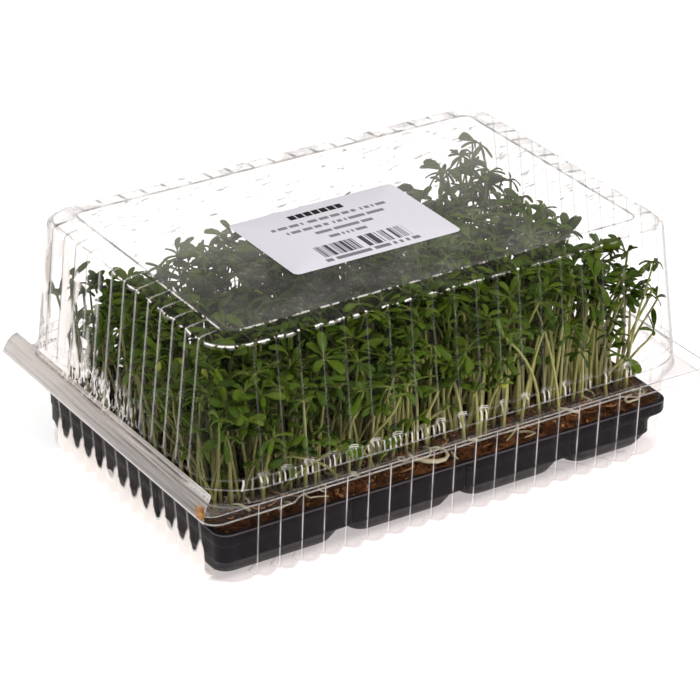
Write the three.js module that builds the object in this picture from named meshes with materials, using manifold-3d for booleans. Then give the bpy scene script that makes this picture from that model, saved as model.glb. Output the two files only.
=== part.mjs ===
// Garden cress growing in a black cell tray inside a clear fluted box with a hinged lid.
// Units are millimetres, +Z is up, the table is z = 0, and the long front faces -Y.
import * as THREE from "three";
import { mergeVertices } from "three/addons/utils/BufferGeometryUtils.js";
import Module from "manifold-3d";

const wasm = await Module();
wasm.setup();

// Driving sizes.
const BOX_X = -1;
const WALL = 1;
const FLUTES_LONG = 18;
const FLUTES_SHORT = 12;
const FLUTE_DEPTH = 1.25;
const STRAIGHT_X = 67.5;
const STRAIGHT_Y = 43.8;
const CORNER_STEPS = 5;

const PANEL_X = 72.2;
const PANEL_Y = 47.4;
const LID_TOP = 78.1;
const EDGE_X = 79.2;
const EDGE_Y = 54.4;
const EDGE_Z = 76.9;
const FOOT_X = 83.7;
const FOOT_Y = 58.9;
const FOOT_Z = 36.5;
const SKIRT_OUT = 0.7;
const FLANGE_X = 90.5;
const FLANGE_Y = 61.6;
const FLANGE_CORNER = 5;
const LID_FLANGE_Z = 28.7;
const HINGE_X = -88.5;

const BASE_X = 81.1;
const BASE_Y = 56.3;
const BASE_WALL_Z = 25.6;
const BASE_LOW_X = 79.65;
const BASE_LOW_Y = 54.85;
const BASE_LOW_Z = 4.6;
const BASE_FLANGE_Z = 27.4;
const BASE_FLANGE_X = 86.5;
const TAB_REACH = 2.7;
const TAB_START = 58;

const TRAY_X = 0.5;
const TRAY_HALF_X = 79;
const TRAY_HALF_Y = 54;
const TRAY_CORNER = 6;
const CELLS_X = 4;
const CELLS_Y = 3;
const PITCH_X = 38.6;
const PITCH_Y = 35.6;
const TRAY_TOP = 17.6;
const TRAY_BAND = 11.7;
const TRAY_FLOOR = 1.35;
const CELL_BOTTOM_GAP = 8.4;
const CELL_CORNER = 5;
const TRAY_WALL = 1;

const GAP = 0.3;
const SOIL_TOP = 19;
const SOIL_HALF_X = 77;
const SOIL_HALF_Y = 52;
const MAT_THICK = 0.8;

const SEEDLINGS_PER_CELL = 7;
const CANOPY_LOW = 44;
const CANOPY_HIGH = 69;
const STEM_RADIUS = 0.75;
const LEAF_THICK = 0.62;
const LEAF_LENGTH = 9.5;
const COLUMN_GAP = 0.4;

const LABEL_X = -8.6;
const LABEL_Y = -6.3;
const LABEL_LONG = 58;
const LABEL_WIDE = 40;
const LABEL_CORNER = 2;
const LABEL_THICK = 0.3;
const LABEL_GAP = 0.1;

const look = (color, roughness, opacity = 1) =>
  new THREE.MeshStandardMaterial({
    color,
    roughness,
    metalness: 0,
    opacity,
    transparent: opacity < 1,
  });

const CLEAR = look(0xe9e6e4, 0.12, 0.3);
const BLACK = look(0x1d1a1e, 0.42);
const SOIL = look(0x54321b, 0.95);
const LEAF_DARK = look(0x3f6a20, 0.6);
const LEAF_MID = look(0x4d7a26, 0.6);
const PAPER = look(0xdcdce2, 0.7);

// A repeatable source of numbers from 0 to 1.
function seeded(seed) {
  let state = seed >>> 0;
  return () => {
    state = (Math.imul(state, 1664525) + 1013904223) >>> 0;
    return state / 4294967296;
  };
}

// A closed body from a three.js geometry, and back.
function toSolid(geometry) {
  const plain = geometry.clone();
  plain.deleteAttribute("normal");
  plain.deleteAttribute("uv");
  const merged = mergeVertices(plain, 1e-4);
  return new wasm.Manifold(
    new wasm.Mesh({
      numProp: 3,
      vertProperties: new Float32Array(merged.attributes.position.array),
      triVerts: new Uint32Array(merged.index.array),
    }),
  );
}

function toGeometry(solid) {
  const mesh = solid.getMesh();
  const stride = mesh.numProp;
  const count = mesh.vertProperties.length / stride;
  const positions = new Float32Array(count * 3);
  for (let i = 0; i < count; i++) {
    for (let k = 0; k < 3; k++) positions[i * 3 + k] = mesh.vertProperties[i * stride + k];
  }
  const geometry = new THREE.BufferGeometry();
  geometry.setAttribute("position", new THREE.BufferAttribute(positions, 3));
  geometry.setIndex(new THREE.BufferAttribute(new Uint32Array(mesh.triVerts), 1));
  geometry.computeVertexNormals();
  return geometry;
}

// One closed surface through rings of equal length, with a flat cap on the first and the last ring.
function loft(rings) {
  const n = rings[0].length;
  const positions = [];
  rings.forEach((ring) => ring.forEach((p) => positions.push(p[0], p[1], p[2])));
  const index = [];
  for (let r = 0; r + 1 < rings.length; r++) {
    for (let i = 0; i < n; i++) {
      const j = (i + 1) % n;
      const a = r * n + i;
      const b = r * n + j;
      index.push(a, b, b + n, a, b + n, a + n);
    }
  }
  const cap = (ring, start, flip) => {
    const outline = ring.map((p) => new THREE.Vector2(p[0], p[1]));
    THREE.ShapeUtils.triangulateShape(outline, []).forEach((t) => {
      if (flip) index.push(start + t[0], start + t[2], start + t[1]);
      else index.push(start + t[0], start + t[1], start + t[2]);
    });
  };
  cap(rings[0], 0, true);
  cap(rings[rings.length - 1], (rings.length - 1) * n, false);
  const geometry = new THREE.BufferGeometry();
  geometry.setAttribute("position", new THREE.Float32BufferAttribute(positions, 3));
  geometry.setIndex(index);
  return geometry;
}

// The outline of the box at one level, counterclockwise from the left end of the front. Each flute
// is a valley, a crest and the next valley. corner is null where the corner follows the straights.
function outline({ left, right, half, z, zLeft = z, flute = 0, corner = null, tab = 0 }) {
  const points = [];
  const level = (w) => z + (zLeft - z) * w;
  const push = (x, y, w) => points.push([x + BOX_X, y, level(w)]);
  const tabAt = (x) => (tab && Math.abs(x) > TAB_START ? tab : 0);
  const arc = (signX, signY, reverse) => {
    const reach = signX > 0 ? right : -left;
    for (let k = 1; k < CORNER_STEPS; k++) {
      const t = reverse ? 1 - k / CORNER_STEPS : k / CORNER_STEPS;
      const swell = flute * Math.sin(Math.PI * t);
      const w = signX < 0 ? Math.min(1, t * 1.6) : 0;
      if (corner === null) {
        const a = (t * Math.PI) / 2;
        const rx = reach - STRAIGHT_X + swell;
        const ry = half - STRAIGHT_Y + swell;
        push(signX * (STRAIGHT_X + rx * Math.sin(a)), signY * (STRAIGHT_Y + ry * Math.cos(a)), w);
      } else {
        const a = ((t * CORNER_STEPS - 1) / (CORNER_STEPS - 2)) * (Math.PI / 2);
        const x = reach - corner + corner * Math.sin(a);
        const y = half + tab - corner + corner * Math.cos(a);
        push(signX * x, signY * y, w);
      }
    }
  };
  const side = (steps, place) => {
    for (let k = 0; k <= steps; k++) place(k / steps, k % 2 ? flute : 0);
  };
  side(FLUTES_LONG * 2, (u, f) => {
    const x = STRAIGHT_X * (2 * u - 1);
    push(x, -(half + f + tabAt(x)), 0);
  });
  arc(1, -1, false);
  side(FLUTES_SHORT * 2, (u, f) => push(right + f, STRAIGHT_Y * (2 * u - 1), 0));
  arc(1, 1, true);
  side(FLUTES_LONG * 2, (u, f) => {
    const x = STRAIGHT_X * (1 - 2 * u);
    push(x, half + f + tabAt(x), 0);
  });
  arc(-1, 1, false);
  side(FLUTES_SHORT * 2, (u, f) => push(left - f, STRAIGHT_Y * (1 - 2 * u), 1));
  arc(-1, -1, true);
  return points;
}

const level = (x, half, z, more = {}) => outline({ left: -x, right: x, half, z, ...more });

// The clear tray of the box: scalloped foot, fluted wall, smooth shoulder, flange with corner tabs.
function boxBase() {
  const flange = {
    left: HINGE_X,
    right: BASE_FLANGE_X,
    half: FLANGE_Y,
    corner: FLANGE_CORNER,
    tab: TAB_REACH,
  };
  const lowInX = BASE_LOW_X - WALL;
  const lowInY = BASE_LOW_Y - WALL;
  return loft([
    level(BASE_LOW_X - 4.15, BASE_LOW_Y - 4.15, 0, { flute: 3.7 }),
    level(BASE_LOW_X - 1, BASE_LOW_Y - 1, 1.6, { flute: 2.4 }),
    level(BASE_LOW_X, BASE_LOW_Y, BASE_LOW_Z, { flute: FLUTE_DEPTH }),
    level(BASE_X, BASE_Y, BASE_WALL_Z, { flute: FLUTE_DEPTH }),
    level(BASE_X + 2.7, BASE_Y + 2.7, BASE_FLANGE_Z),
    outline({ ...flange, z: BASE_FLANGE_Z }),
    outline({ ...flange, z: BASE_FLANGE_Z + WALL }),
    level(BASE_X + 1.7, BASE_Y + 1.7, BASE_FLANGE_Z + WALL),
    level(BASE_X - WALL, BASE_Y - WALL, BASE_WALL_Z - 0.2, { flute: FLUTE_DEPTH }),
    level(lowInX, lowInY, BASE_LOW_Z + 0.2, { flute: FLUTE_DEPTH }),
    level(lowInX - 3, lowInY - 3, WALL, { flute: 2.6 }),
  ]);
}

// The clear lid: flat panel, sloping rim, fluted wall, skirt and flange. Along the left side the
// skirt is a convex band that slopes out and down to the fold.
function boxLid() {
  const flange = {
    left: HINGE_X,
    right: FLANGE_X,
    half: FLANGE_Y,
    corner: FLANGE_CORNER,
  };
  const skirtX = FOOT_X + SKIRT_OUT;
  const skirtY = FOOT_Y + SKIRT_OUT;
  const skirt = (out, z, left, zLeft) =>
    outline({ left, right: skirtX + out, half: skirtY + out, z, zLeft });
  const top = LID_FLANGE_Z + WALL;
  const rings = [
    level(PANEL_X, PANEL_Y, LID_TOP),
    level(EDGE_X, EDGE_Y, EDGE_Z, { flute: 0.5 }),
    level(EDGE_X + 0.2, EDGE_Y + 0.2, EDGE_Z - 1.6, { flute: FLUTE_DEPTH }),
    level(FOOT_X, FOOT_Y, FOOT_Z, { flute: FLUTE_DEPTH }),
    skirt(0.6, FOOT_Z - 1.1, -skirtX - 0.6, FOOT_Z - 1.1),
    skirt(0.7, 32, -skirtX - 2.7, 33.2),
    skirt(0.9, top, HINGE_X + 0.3, top + 0.7),
    outline({ ...flange, z: top, zLeft: top + 0.1 }),
    outline({ ...flange, z: LID_FLANGE_Z }),
    skirt(-0.2, LID_FLANGE_Z, HINGE_X + 1.2, LID_FLANGE_Z + 0.1),
    level(FOOT_X - WALL, FOOT_Y - WALL, FOOT_Z - 0.4, { flute: FLUTE_DEPTH }),
    level(EDGE_X - 0.8, EDGE_Y - 0.8, EDGE_Z - 1.9, { flute: FLUTE_DEPTH }),
    level(PANEL_X - 0.2, PANEL_Y - 0.2, LID_TOP - WALL),
  ];
  return loft(rings.reverse());
}

// A rounded rectangle about (x, y) at height z.
function roundedRing(x, y, halfX, halfY, radius, z, steps = 2) {
  const points = [];
  [
    [1, -1, -90],
    [1, 1, 0],
    [-1, 1, 90],
    [-1, -1, 180],
  ].forEach(([sx, sy, start]) => {
    for (let k = 0; k <= steps; k++) {
      const a = THREE.MathUtils.degToRad(start + (90 * k) / steps);
      points.push([
        x + sx * (halfX - radius) + radius * Math.cos(a),
        y + sy * (halfY - radius) + radius * Math.sin(a),
        z,
      ]);
    }
  });
  return points;
}

const cells = [];
for (let row = 0; row < CELLS_Y; row++) {
  for (let column = 0; column < CELLS_X; column++) {
    cells.push({
      row,
      column,
      x: BOX_X + TRAY_X + (column - (CELLS_X - 1) / 2) * PITCH_X,
      y: (row - (CELLS_Y - 1) / 2) * PITCH_Y,
    });
  }
}

// Half sizes of a cell's outside at height z, below the joining band.
function cellHalf(z) {
  const t = (TRAY_BAND - z) / (TRAY_BAND - TRAY_FLOOR);
  const gap = 3 + (CELL_BOTTOM_GAP - 3) * t;
  return [(PITCH_X - gap) / 2, (PITCH_Y - gap) / 2];
}

// The inside of a cell: rings from its floor to past the rim, shrunk by inset.
function cellHollow(cell, inset, bottom, top, steps) {
  const ring = (z, halfX, halfY, radius) =>
    roundedRing(cell.x, cell.y, halfX - inset, halfY - inset, radius, z, steps);
  const [lowX, lowY] = cellHalf(TRAY_FLOOR + 2);
  const [midX, midY] = cellHalf(TRAY_BAND);
  const openX = PITCH_X / 2 - TRAY_WALL * 0.7;
  const openY = PITCH_Y / 2 - TRAY_WALL * 0.7;
  return loft([
    ring(bottom, lowX - TRAY_WALL - 1, lowY - TRAY_WALL - 1, CELL_CORNER - 1.5),
    ring(TRAY_BAND, midX - TRAY_WALL, midY - TRAY_WALL, CELL_CORNER - 1),
    ring(top, openX, openY, CELL_CORNER - 1),
  ]);
}

// The black tray: one moulded piece of tapered cells under a joining band with a rounded rim.
function cellTray() {
  const x = BOX_X + TRAY_X - 0.3;
  const band = loft([
    roundedRing(x, 0, PITCH_X * 2 - 0.6, PITCH_Y * 1.5 - 0.6, TRAY_CORNER - 1, TRAY_BAND - 0.01),
    roundedRing(x, 0, PITCH_X * 2 + 0.3, PITCH_Y * 1.5, TRAY_CORNER, TRAY_TOP - 1.2),
    roundedRing(x, 0, TRAY_HALF_X, TRAY_HALF_Y, TRAY_CORNER + 4, TRAY_TOP - 0.9),
    roundedRing(x, 0, TRAY_HALF_X, TRAY_HALF_Y, TRAY_CORNER + 4, TRAY_TOP),
  ]);
  let tray = toSolid(band);
  cells.forEach((cell) => {
    const cup = [
      [TRAY_FLOOR, 1.2, CELL_CORNER - 1],
      [TRAY_FLOOR + 1.2, 0, CELL_CORNER],
      [TRAY_BAND + 1, 0, CELL_CORNER],
    ];
    const rings = cup.map(([z, inset, radius]) => {
      const [halfX, halfY] = cellHalf(Math.min(z, TRAY_BAND));
      return roundedRing(cell.x, cell.y, halfX - inset, halfY - inset, radius, z);
    });
    tray = tray.add(toSolid(loft(rings)));
  });
  cells.forEach((cell) => {
    tray = tray.subtract(toSolid(cellHollow(cell, 0, TRAY_FLOOR + TRAY_WALL, TRAY_TOP + 1, 2)));
  });
  return toGeometry(tray);
}

// The growing medium: a plug in each cell under one thin layer, with a shallow bed for each root mat.
function growingMedium() {
  const x = BOX_X + TRAY_X;
  const low = TRAY_TOP + GAP;
  const steps = 36;
  const layer = [low, low + 0.5, SOIL_TOP].map((z, k) => {
    const ring = [];
    const draw = seeded(11);
    for (let i = 0; i < steps; i++) {
      const a = (i / steps) * Math.PI * 2;
      const c = Math.cos(a);
      const s = Math.sin(a);
      const p = 8;
      const r = (Math.abs(c) ** p + Math.abs(s) ** p) ** (-1 / p);
      const ragged = 1 - 0.025 * draw() - (k === 2 ? 0.012 : 0);
      ring.push([x + SOIL_HALF_X * r * c * ragged, SOIL_HALF_Y * r * s * ragged, z]);
    }
    return ring;
  });
  let medium = toSolid(loft(layer));
  cells.forEach((cell) => {
    const plug = cellHollow(cell, GAP, TRAY_FLOOR + TRAY_WALL + GAP, TRAY_TOP + GAP + 0.4, 1);
    medium = medium.add(toSolid(plug));
  });
  cells.forEach((cell) => {
    const bed = matRings(cell, GAP, SOIL_TOP - MAT_THICK - GAP, SOIL_TOP + 1);
    medium = medium.subtract(toSolid(loft(bed)));
  });
  return toGeometry(medium);
}

// The outline of a cell's root mat, grown by out.
function matRings(cell, out, bottom, top) {
  const halfX = PITCH_X / 2 - 2.6 + out;
  const halfY = PITCH_Y / 2 - 2.6 + out;
  return [bottom, top].map((z) => roundedRing(cell.x, cell.y, halfX, halfY, 5, z, 1));
}

// A swept stem: a three-sided tube through the points, narrowing to the top.
function stem(points, radius) {
  const rings = points.map((p, k) => {
    const r = radius * (1 - 0.3 * (k / (points.length - 1)));
    const ring = [];
    for (let i = 0; i < 3; i++) {
      const a = (i / 3) * Math.PI * 2 + 0.4;
      ring.push([p.x + r * Math.cos(a), p.y + r * Math.sin(a), p.z]);
    }
    return ring;
  });
  return loft(rings);
}

// A pair of seed leaves, each of three blunt lobes, cut to one arched blade about its stalk.
const LOBES = [
  { angle: -0.85, reach: 0.7, width: 0.24 },
  { angle: 0, reach: 1, width: 0.27 },
  { angle: 0.85, reach: 0.7, width: 0.24 },
];
const NOTCH = 0.34;
const WAIST = 0.1;
const LEAF_RISE = 0.3;

function seedLeaves(length) {
  const plan = [];
  [0, Math.PI].forEach((facing) => {
    const polar = (r, a) => plan.push([r * Math.cos(facing + a), r * Math.sin(facing + a)]);
    polar(WAIST, -Math.PI / 2);
    LOBES.forEach(({ angle, reach, width }, k) => {
      if (k > 0) polar(NOTCH, (angle + LOBES[k - 1].angle) / 2);
      polar(reach * 0.92, angle - width / 2 / reach);
      polar(reach, angle + width / 2 / reach);
    });
  });
  const shape = new THREE.Shape(plan.map(([x, y]) => new THREE.Vector2(x * length, y * length)));
  const blade = new THREE.ExtrudeGeometry(shape, { depth: LEAF_THICK, bevelEnabled: false });
  const position = blade.attributes.position;
  for (let i = 0; i < position.count; i++) {
    const x = position.getX(i) / length;
    const y = position.getY(i) / length;
    const rise = LEAF_RISE * Math.max(0, Math.hypot(x, y) - NOTCH - 0.01) * 1.5;
    position.setZ(i, position.getZ(i) - LEAF_THICK / 2 + length * rise);
  }
  return blade;
}

// How far foliage may reach at height z: the walls, and the path of the lid's end wall as it swings.
function reachRight(z) {
  const swing = FOOT_X - WALL - HINGE_X;
  const rise = z - LID_FLANGE_Z;
  return BOX_X + HINGE_X + Math.sqrt(swing * swing - rise * rise) - 2;
}

function reachLeft(z) {
  const wall = FOOT_X + ((EDGE_X - FOOT_X) * (z - FOOT_Z)) / (EDGE_Z - FOOT_Z);
  return BOX_X - wall + 3;
}

// One cell's bunch of seedlings, rooted in a thin mat and kept within its own column.
function cressBunch(cell) {
  const draw = seeded(101 + cell.row * 37 + cell.column * 211);
  let bunch = toSolid(loft(matRings(cell, 0, SOIL_TOP - MAT_THICK, SOIL_TOP)));
  for (let k = 0; k < SEEDLINGS_PER_CELL; k++) {
    const ring = ((k - 1) / (SEEDLINGS_PER_CELL - 1)) * Math.PI * 2;
    const spread = k ? 1 : 0;
    const rootX = cell.x + spread * 11.5 * Math.cos(ring) + (draw() - 0.5) * 4;
    const rootY = cell.y + spread * 10 * Math.sin(ring) + (draw() - 0.5) * 4;
    const step = (((k * 3 + cell.row + cell.column) % 7) + 0.5 * draw()) / 6.5;
    const height = CANOPY_LOW + (CANOPY_HIGH - CANOPY_LOW) * step;
    const top = height + LEAF_LENGTH * LEAF_RISE;
    const leaves = seedLeaves(LEAF_LENGTH * (0.85 + 0.3 * draw()));
    leaves.rotateZ(draw() * Math.PI);
    leaves.computeBoundingBox();
    const { min, max } = leaves.boundingBox;
    const halfX = PITCH_X / 2 - COLUMN_GAP;
    const halfY = PITCH_Y / 2 - COLUMN_GAP;
    const lowX = Math.max(cell.x - halfX, reachLeft(top)) - min.x;
    const highX = Math.min(cell.x + halfX, reachRight(top)) - max.x;
    const lean = draw() * Math.PI * 2;
    const sway = 2 + 3 * draw();
    const tipX = THREE.MathUtils.clamp(rootX + Math.cos(lean) * sway, lowX, highX);
    const tipY = THREE.MathUtils.clamp(
      rootY + Math.sin(lean) * sway,
      cell.y - halfY - min.y,
      cell.y + halfY - max.y,
    );
    const points = [0, 0.5, 1].map((t) => {
      const bow = t * t - 0.3 * Math.sin(Math.PI * t);
      const z = SOIL_TOP - 0.4 + (height - SOIL_TOP + 0.4) * t;
      return new THREE.Vector3(rootX + (tipX - rootX) * bow, rootY + (tipY - rootY) * bow, z);
    });
    leaves.translate(tipX, tipY, height);
    bunch = bunch.add(toSolid(stem(points, STEM_RADIUS))).add(toSolid(leaves));
  }
  return toGeometry(bunch);
}

// The paper label on the top panel.
function paperLabel() {
  const z = LID_TOP + LABEL_GAP;
  return loft(
    [z, z + LABEL_THICK].map((h) =>
      roundedRing(LABEL_X, LABEL_Y, LABEL_LONG / 2, LABEL_WIDE / 2, LABEL_CORNER, h),
    ),
  );
}

const part = new THREE.Group();
part.name = "garden_cress_box";

function piece(name, geometry, material) {
  const mesh = new THREE.Mesh(geometry, material);
  mesh.name = name;
  mesh.geometry.computeVertexNormals();
  part.add(mesh);
}

piece("box_base", boxBase(), CLEAR);
piece("box_lid", boxLid(), CLEAR);
piece("cell_tray", cellTray(), BLACK);
piece("growing_medium", growingMedium(), SOIL);
piece("paper_label", paperLabel(), PAPER);
cells.forEach((cell) => {
  const name = "cress_r" + (cell.row + 1) + "c" + (cell.column + 1);
  piece(name, cressBunch(cell), (cell.row + cell.column) % 2 ? LEAF_MID : LEAF_DARK);
});

export default part;
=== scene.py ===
"""Garden cress in a clear hinged box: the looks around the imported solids."""

import math

import bmesh
import bpy
import numpy as np
from bpy.props import FloatProperty, FloatVectorProperty, IntProperty, PointerProperty
from mathutils import Matrix, Vector


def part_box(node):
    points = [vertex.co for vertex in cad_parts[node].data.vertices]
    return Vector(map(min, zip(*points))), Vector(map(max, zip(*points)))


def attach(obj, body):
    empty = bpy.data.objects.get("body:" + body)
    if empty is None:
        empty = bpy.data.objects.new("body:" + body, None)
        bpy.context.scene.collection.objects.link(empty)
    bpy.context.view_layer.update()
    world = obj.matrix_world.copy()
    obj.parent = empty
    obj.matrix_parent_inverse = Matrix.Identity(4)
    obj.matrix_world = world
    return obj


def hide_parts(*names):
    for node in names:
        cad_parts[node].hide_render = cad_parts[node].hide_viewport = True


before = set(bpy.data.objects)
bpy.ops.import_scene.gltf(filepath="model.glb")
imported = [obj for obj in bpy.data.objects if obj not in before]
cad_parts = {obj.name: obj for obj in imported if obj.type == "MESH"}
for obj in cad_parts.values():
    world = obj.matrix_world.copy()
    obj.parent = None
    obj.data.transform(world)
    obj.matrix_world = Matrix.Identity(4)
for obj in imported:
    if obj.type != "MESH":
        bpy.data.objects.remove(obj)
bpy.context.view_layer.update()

bl_info = {
    "name": "Garden cress box",
    "version": (1, 0, 0),
    "blender": (4, 5, 0),
    "location": "View3D > Sidebar > Cress",
    "description": "Builds a clear hinged box of garden cress around its solids",
    "category": "Object",
}

MM = 0.001
ROWS = (1, 2, 3)
COLUMNS = (1, 2, 3, 4)
CRESS_NODES = [f"cress_r{r}c{c}" for r in ROWS for c in COLUMNS]
BASE = "base"
LID = "lid"

# The box in millimetres, as the solids have it
BOX_X = -1.0
STRAIGHT_X = 67.5
STRAIGHT_Y = 43.8
FLUTES_LONG = 18
FLUTES_SHORT = 12
HINGE_X = -88.5
LID_TOP = 78.1
LID_FOOT_X = 83.7
LID_FOOT_Y = 58.9
LID_FOOT_Z = 36.5
LID_FLANGE_Z = 28.7
BASE_FLANGE_Z = 27.4
SOIL_TOP = 19.0
TRAY_TOP = 17.6


# Settings
def millimetres(name, description, default):
    """A length, whose default is given in millimetres."""
    return FloatProperty(name=name, description=description, default=default * MM, unit="LENGTH")


def colour(name, description, *default):
    """A colour."""
    return FloatVectorProperty(
        name=name, description=description, default=default, subtype="COLOR", size=3, min=0, max=1
    )


class CRESS_PG_box(bpy.types.PropertyGroup):
    """Sizes and colours of the box and its tray"""

    sheet: millimetres("Sheet", "Thickness of the clear sheet", 0.3)
    flute: millimetres("Flute", "How far each flute of the wall swells", 1.25)
    lid_tint: colour("Lid tint", "Colour that each face of the lid lets through", 0.984, 0.975, 0.972)
    base_tint: colour("Base tint", "Colour that each face of the base lets through", 0.955, 0.94, 0.938)
    band: colour("Fold band", "Colour of the stressed band along the fold", 0.50, 0.455, 0.43)
    tray: colour("Tray", "Colour of the black cell tray", 0.006, 0.005, 0.0065)


class CRESS_PG_plants(bpy.types.PropertyGroup):
    """Sizes and colours of the seedlings and the growing medium"""

    per_cell: IntProperty(
        name="Seedlings in a cell",
        description="How many seedlings stand in each cell of the tray",
        default=92,
        min=7,
        max=120,
    )
    stem_width: millimetres("Stem width", "Width of a stem at its foot", 1.15)
    leaf_length: millimetres("Leaf length", "Length of a seed leaf's middle lobe with its stalk", 8.0)
    leaf_dark: colour("Dark leaf", "Colour of the darkest leaves", 0.007, 0.028, 0.0012)
    leaf_light: colour("Light leaf", "Colour of the lightest leaves", 0.110, 0.178, 0.006)
    stem: colour("Stem", "Colour of the pale stems", 0.34, 0.325, 0.12)
    soil: colour("Soil", "Colour of the fibrous growing medium", 0.19, 0.070, 0.020)


# Node maths
class Socket:
    """A shader socket with arithmetic, so that a pattern reads as a formula."""

    def __init__(self, finish, socket):
        self.finish = finish
        self.socket = socket

    def maths(self, operation, *values, clamp=False):
        settings = {"operation": operation, "use_clamp": clamp}
        return self.finish.node("ShaderNodeMath", settings, dict(enumerate(values)))

    def __add__(self, other):
        return self.maths("ADD", self, other)

    def __radd__(self, other):
        return self.maths("ADD", other, self)

    def __sub__(self, other):
        return self.maths("SUBTRACT", self, other)

    def __rsub__(self, other):
        return self.maths("SUBTRACT", other, self)

    def __mul__(self, other):
        return self.maths("MULTIPLY", self, other)

    def __rmul__(self, other):
        return self.maths("MULTIPLY", other, self)

    def __truediv__(self, other):
        return self.maths("DIVIDE", self, other)

    def __rtruediv__(self, other):
        return self.maths("DIVIDE", other, self)

    def __pow__(self, other):
        return self.maths("POWER", self, other)

    def __gt__(self, other):
        return self.maths("GREATER_THAN", self, other)

    def __lt__(self, other):
        return self.maths("LESS_THAN", self, other)

    def between(self, low, high):
        return (self > low) * (self < high)

    def clamp(self):
        return self.maths("ADD", self, 0.0, clamp=True)

    def floor(self):
        return self.maths("FLOOR", self)

    def fract(self):
        return self.maths("FRACT", self)

    def absolute(self):
        return self.maths("ABSOLUTE", self)

    def maximum(self, other):
        return self.maths("MAXIMUM", self, other)

    def minimum(self, other):
        return self.maths("MINIMUM", self, other)

    def step(self, low, high):
        """A smooth step from 0 at low to 1 at high."""
        settings = {"interpolation_type": "SMOOTHSTEP"}
        sockets = {"Value": self, "From Min": low, "From Max": high}
        return self.finish.node("ShaderNodeMapRange", settings, sockets, "Result")


class Finish:
    """One material: its tree, its object coordinates in millimetres and its sources of pattern."""

    def __init__(self, name):
        self.material = bpy.data.materials.new(name)
        self.material.use_nodes = True
        self.tree = self.material.node_tree
        self.tree.nodes.clear()
        metres = self.node("ShaderNodeTexCoord", {}, {}, "Object")
        scaling = {0: metres, "Scale": 1 / MM}
        self.position = self.node("ShaderNodeVectorMath", {"operation": "SCALE"}, scaling)
        split = self.node("ShaderNodeSeparateXYZ", {}, {0: self.position})
        self.xyz = [Socket(self, socket) for socket in split.socket.node.outputs]

    def node(self, kind, settings, sockets, output=0):
        """Makes a node, with its settings first and then the values or links of its sockets."""
        made = self.tree.nodes.new(kind)
        for key, value in settings.items():
            setattr(made, key, value)
        for key, value in sockets.items():
            target = made.inputs[key]
            if isinstance(value, Socket):
                self.tree.links.new(value.socket, target)
            elif target.type == "RGBA":
                target.default_value = (*value, 1.0)
            else:
                target.default_value = value
        return Socket(self, made.outputs[output]) if made.outputs else None

    def vector(self, *parts):
        return self.node("ShaderNodeCombineXYZ", {}, dict(enumerate(parts)))

    def attribute(self, name):
        return self.node("ShaderNodeAttribute", {"attribute_name": name}, {}, "Fac")

    def noise(self, scale, detail, roughness=0.55, at=None, distortion=0.0):
        """Noise from 0 to 1 over the object's millimetres, or over the three parts given as at."""
        sockets = {
            "Vector": self.position if at is None else self.vector(*at),
            "Scale": scale,
            "Detail": detail,
            "Roughness": roughness,
            "Distortion": distortion,
        }
        return self.node("ShaderNodeTexNoise", {}, sockets, "Fac")

    def crumbs(self, scale):
        """Distance from the middle of the nearest of many scattered cells."""
        sockets = {"Vector": self.position, "Scale": scale}
        return self.node("ShaderNodeTexVoronoi", {}, sockets, "Distance")

    def random_at(self, value):
        settings = {"noise_dimensions": "1D"}
        return self.node("ShaderNodeTexWhiteNoise", settings, {"W": value}, "Value")

    def mix(self, factor, a, b):
        """A colour between a and b."""
        return self.node("ShaderNodeMix", {"data_type": "RGBA"}, {0: factor, 6: a, 7: b}, 2)

    def bump(self, height, strength, distance):
        sockets = {"Strength": strength, "Distance": distance, "Height": height}
        return self.node("ShaderNodeBump", {}, sockets)

    def principled(self, **inputs):
        sockets = {key.replace("_", " "): value for key, value in inputs.items()}
        return self.node("ShaderNodeBsdfPrincipled", {}, sockets)

    def blend(self, factor, a, b):
        """A shader between a and b."""
        return self.node("ShaderNodeMixShader", {}, {0: factor, 1: a, 2: b})

    def transparent(self, color):
        return self.node("ShaderNodeBsdfTransparent", {}, {"Color": color})

    def glance(self):
        """0 where the face is seen square on and 1 where it is seen edge on."""
        return self.node("ShaderNodeLayerWeight", {}, {"Blend": 0.5}, "Facing")

    def close(self, shader):
        self.node("ShaderNodeOutputMaterial", {}, {"Surface": shader})
        return self.material


def scaled(color, share):
    """A colour made darker or paler by a share."""
    return tuple(min(1.0, c * share) for c in color)


# Meshes
def make_object(name, vertices, faces, material, attributes=None, smooth=True):
    """A mesh object from whole arrays, with the vertices in millimetres."""
    mesh = bpy.data.meshes.new(name)
    vertices = np.asarray(vertices, dtype=np.float64).reshape(-1, 3) * MM
    faces = np.asarray(faces, dtype=np.int64)
    count, width = faces.shape
    mesh.vertices.add(len(vertices))
    mesh.vertices.foreach_set("co", vertices.ravel())
    mesh.loops.add(faces.size)
    mesh.loops.foreach_set("vertex_index", faces.ravel())
    mesh.polygons.add(count)
    mesh.polygons.foreach_set("loop_start", np.arange(count) * width)
    mesh.polygons.foreach_set("loop_total", np.full(count, width))
    mesh.update(calc_edges=True)
    mesh.validate(clean_customdata=False)
    for key, values in (attributes or {}).items():
        layer = mesh.attributes.new(key, "FLOAT", "POINT")
        layer.data.foreach_set("value", np.asarray(values, dtype=np.float32).ravel())
    if smooth:
        mesh.shade_smooth()
    mesh.materials.append(material)
    made = bpy.data.objects.new(name, mesh)
    bpy.context.scene.collection.objects.link(made)
    return made


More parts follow.
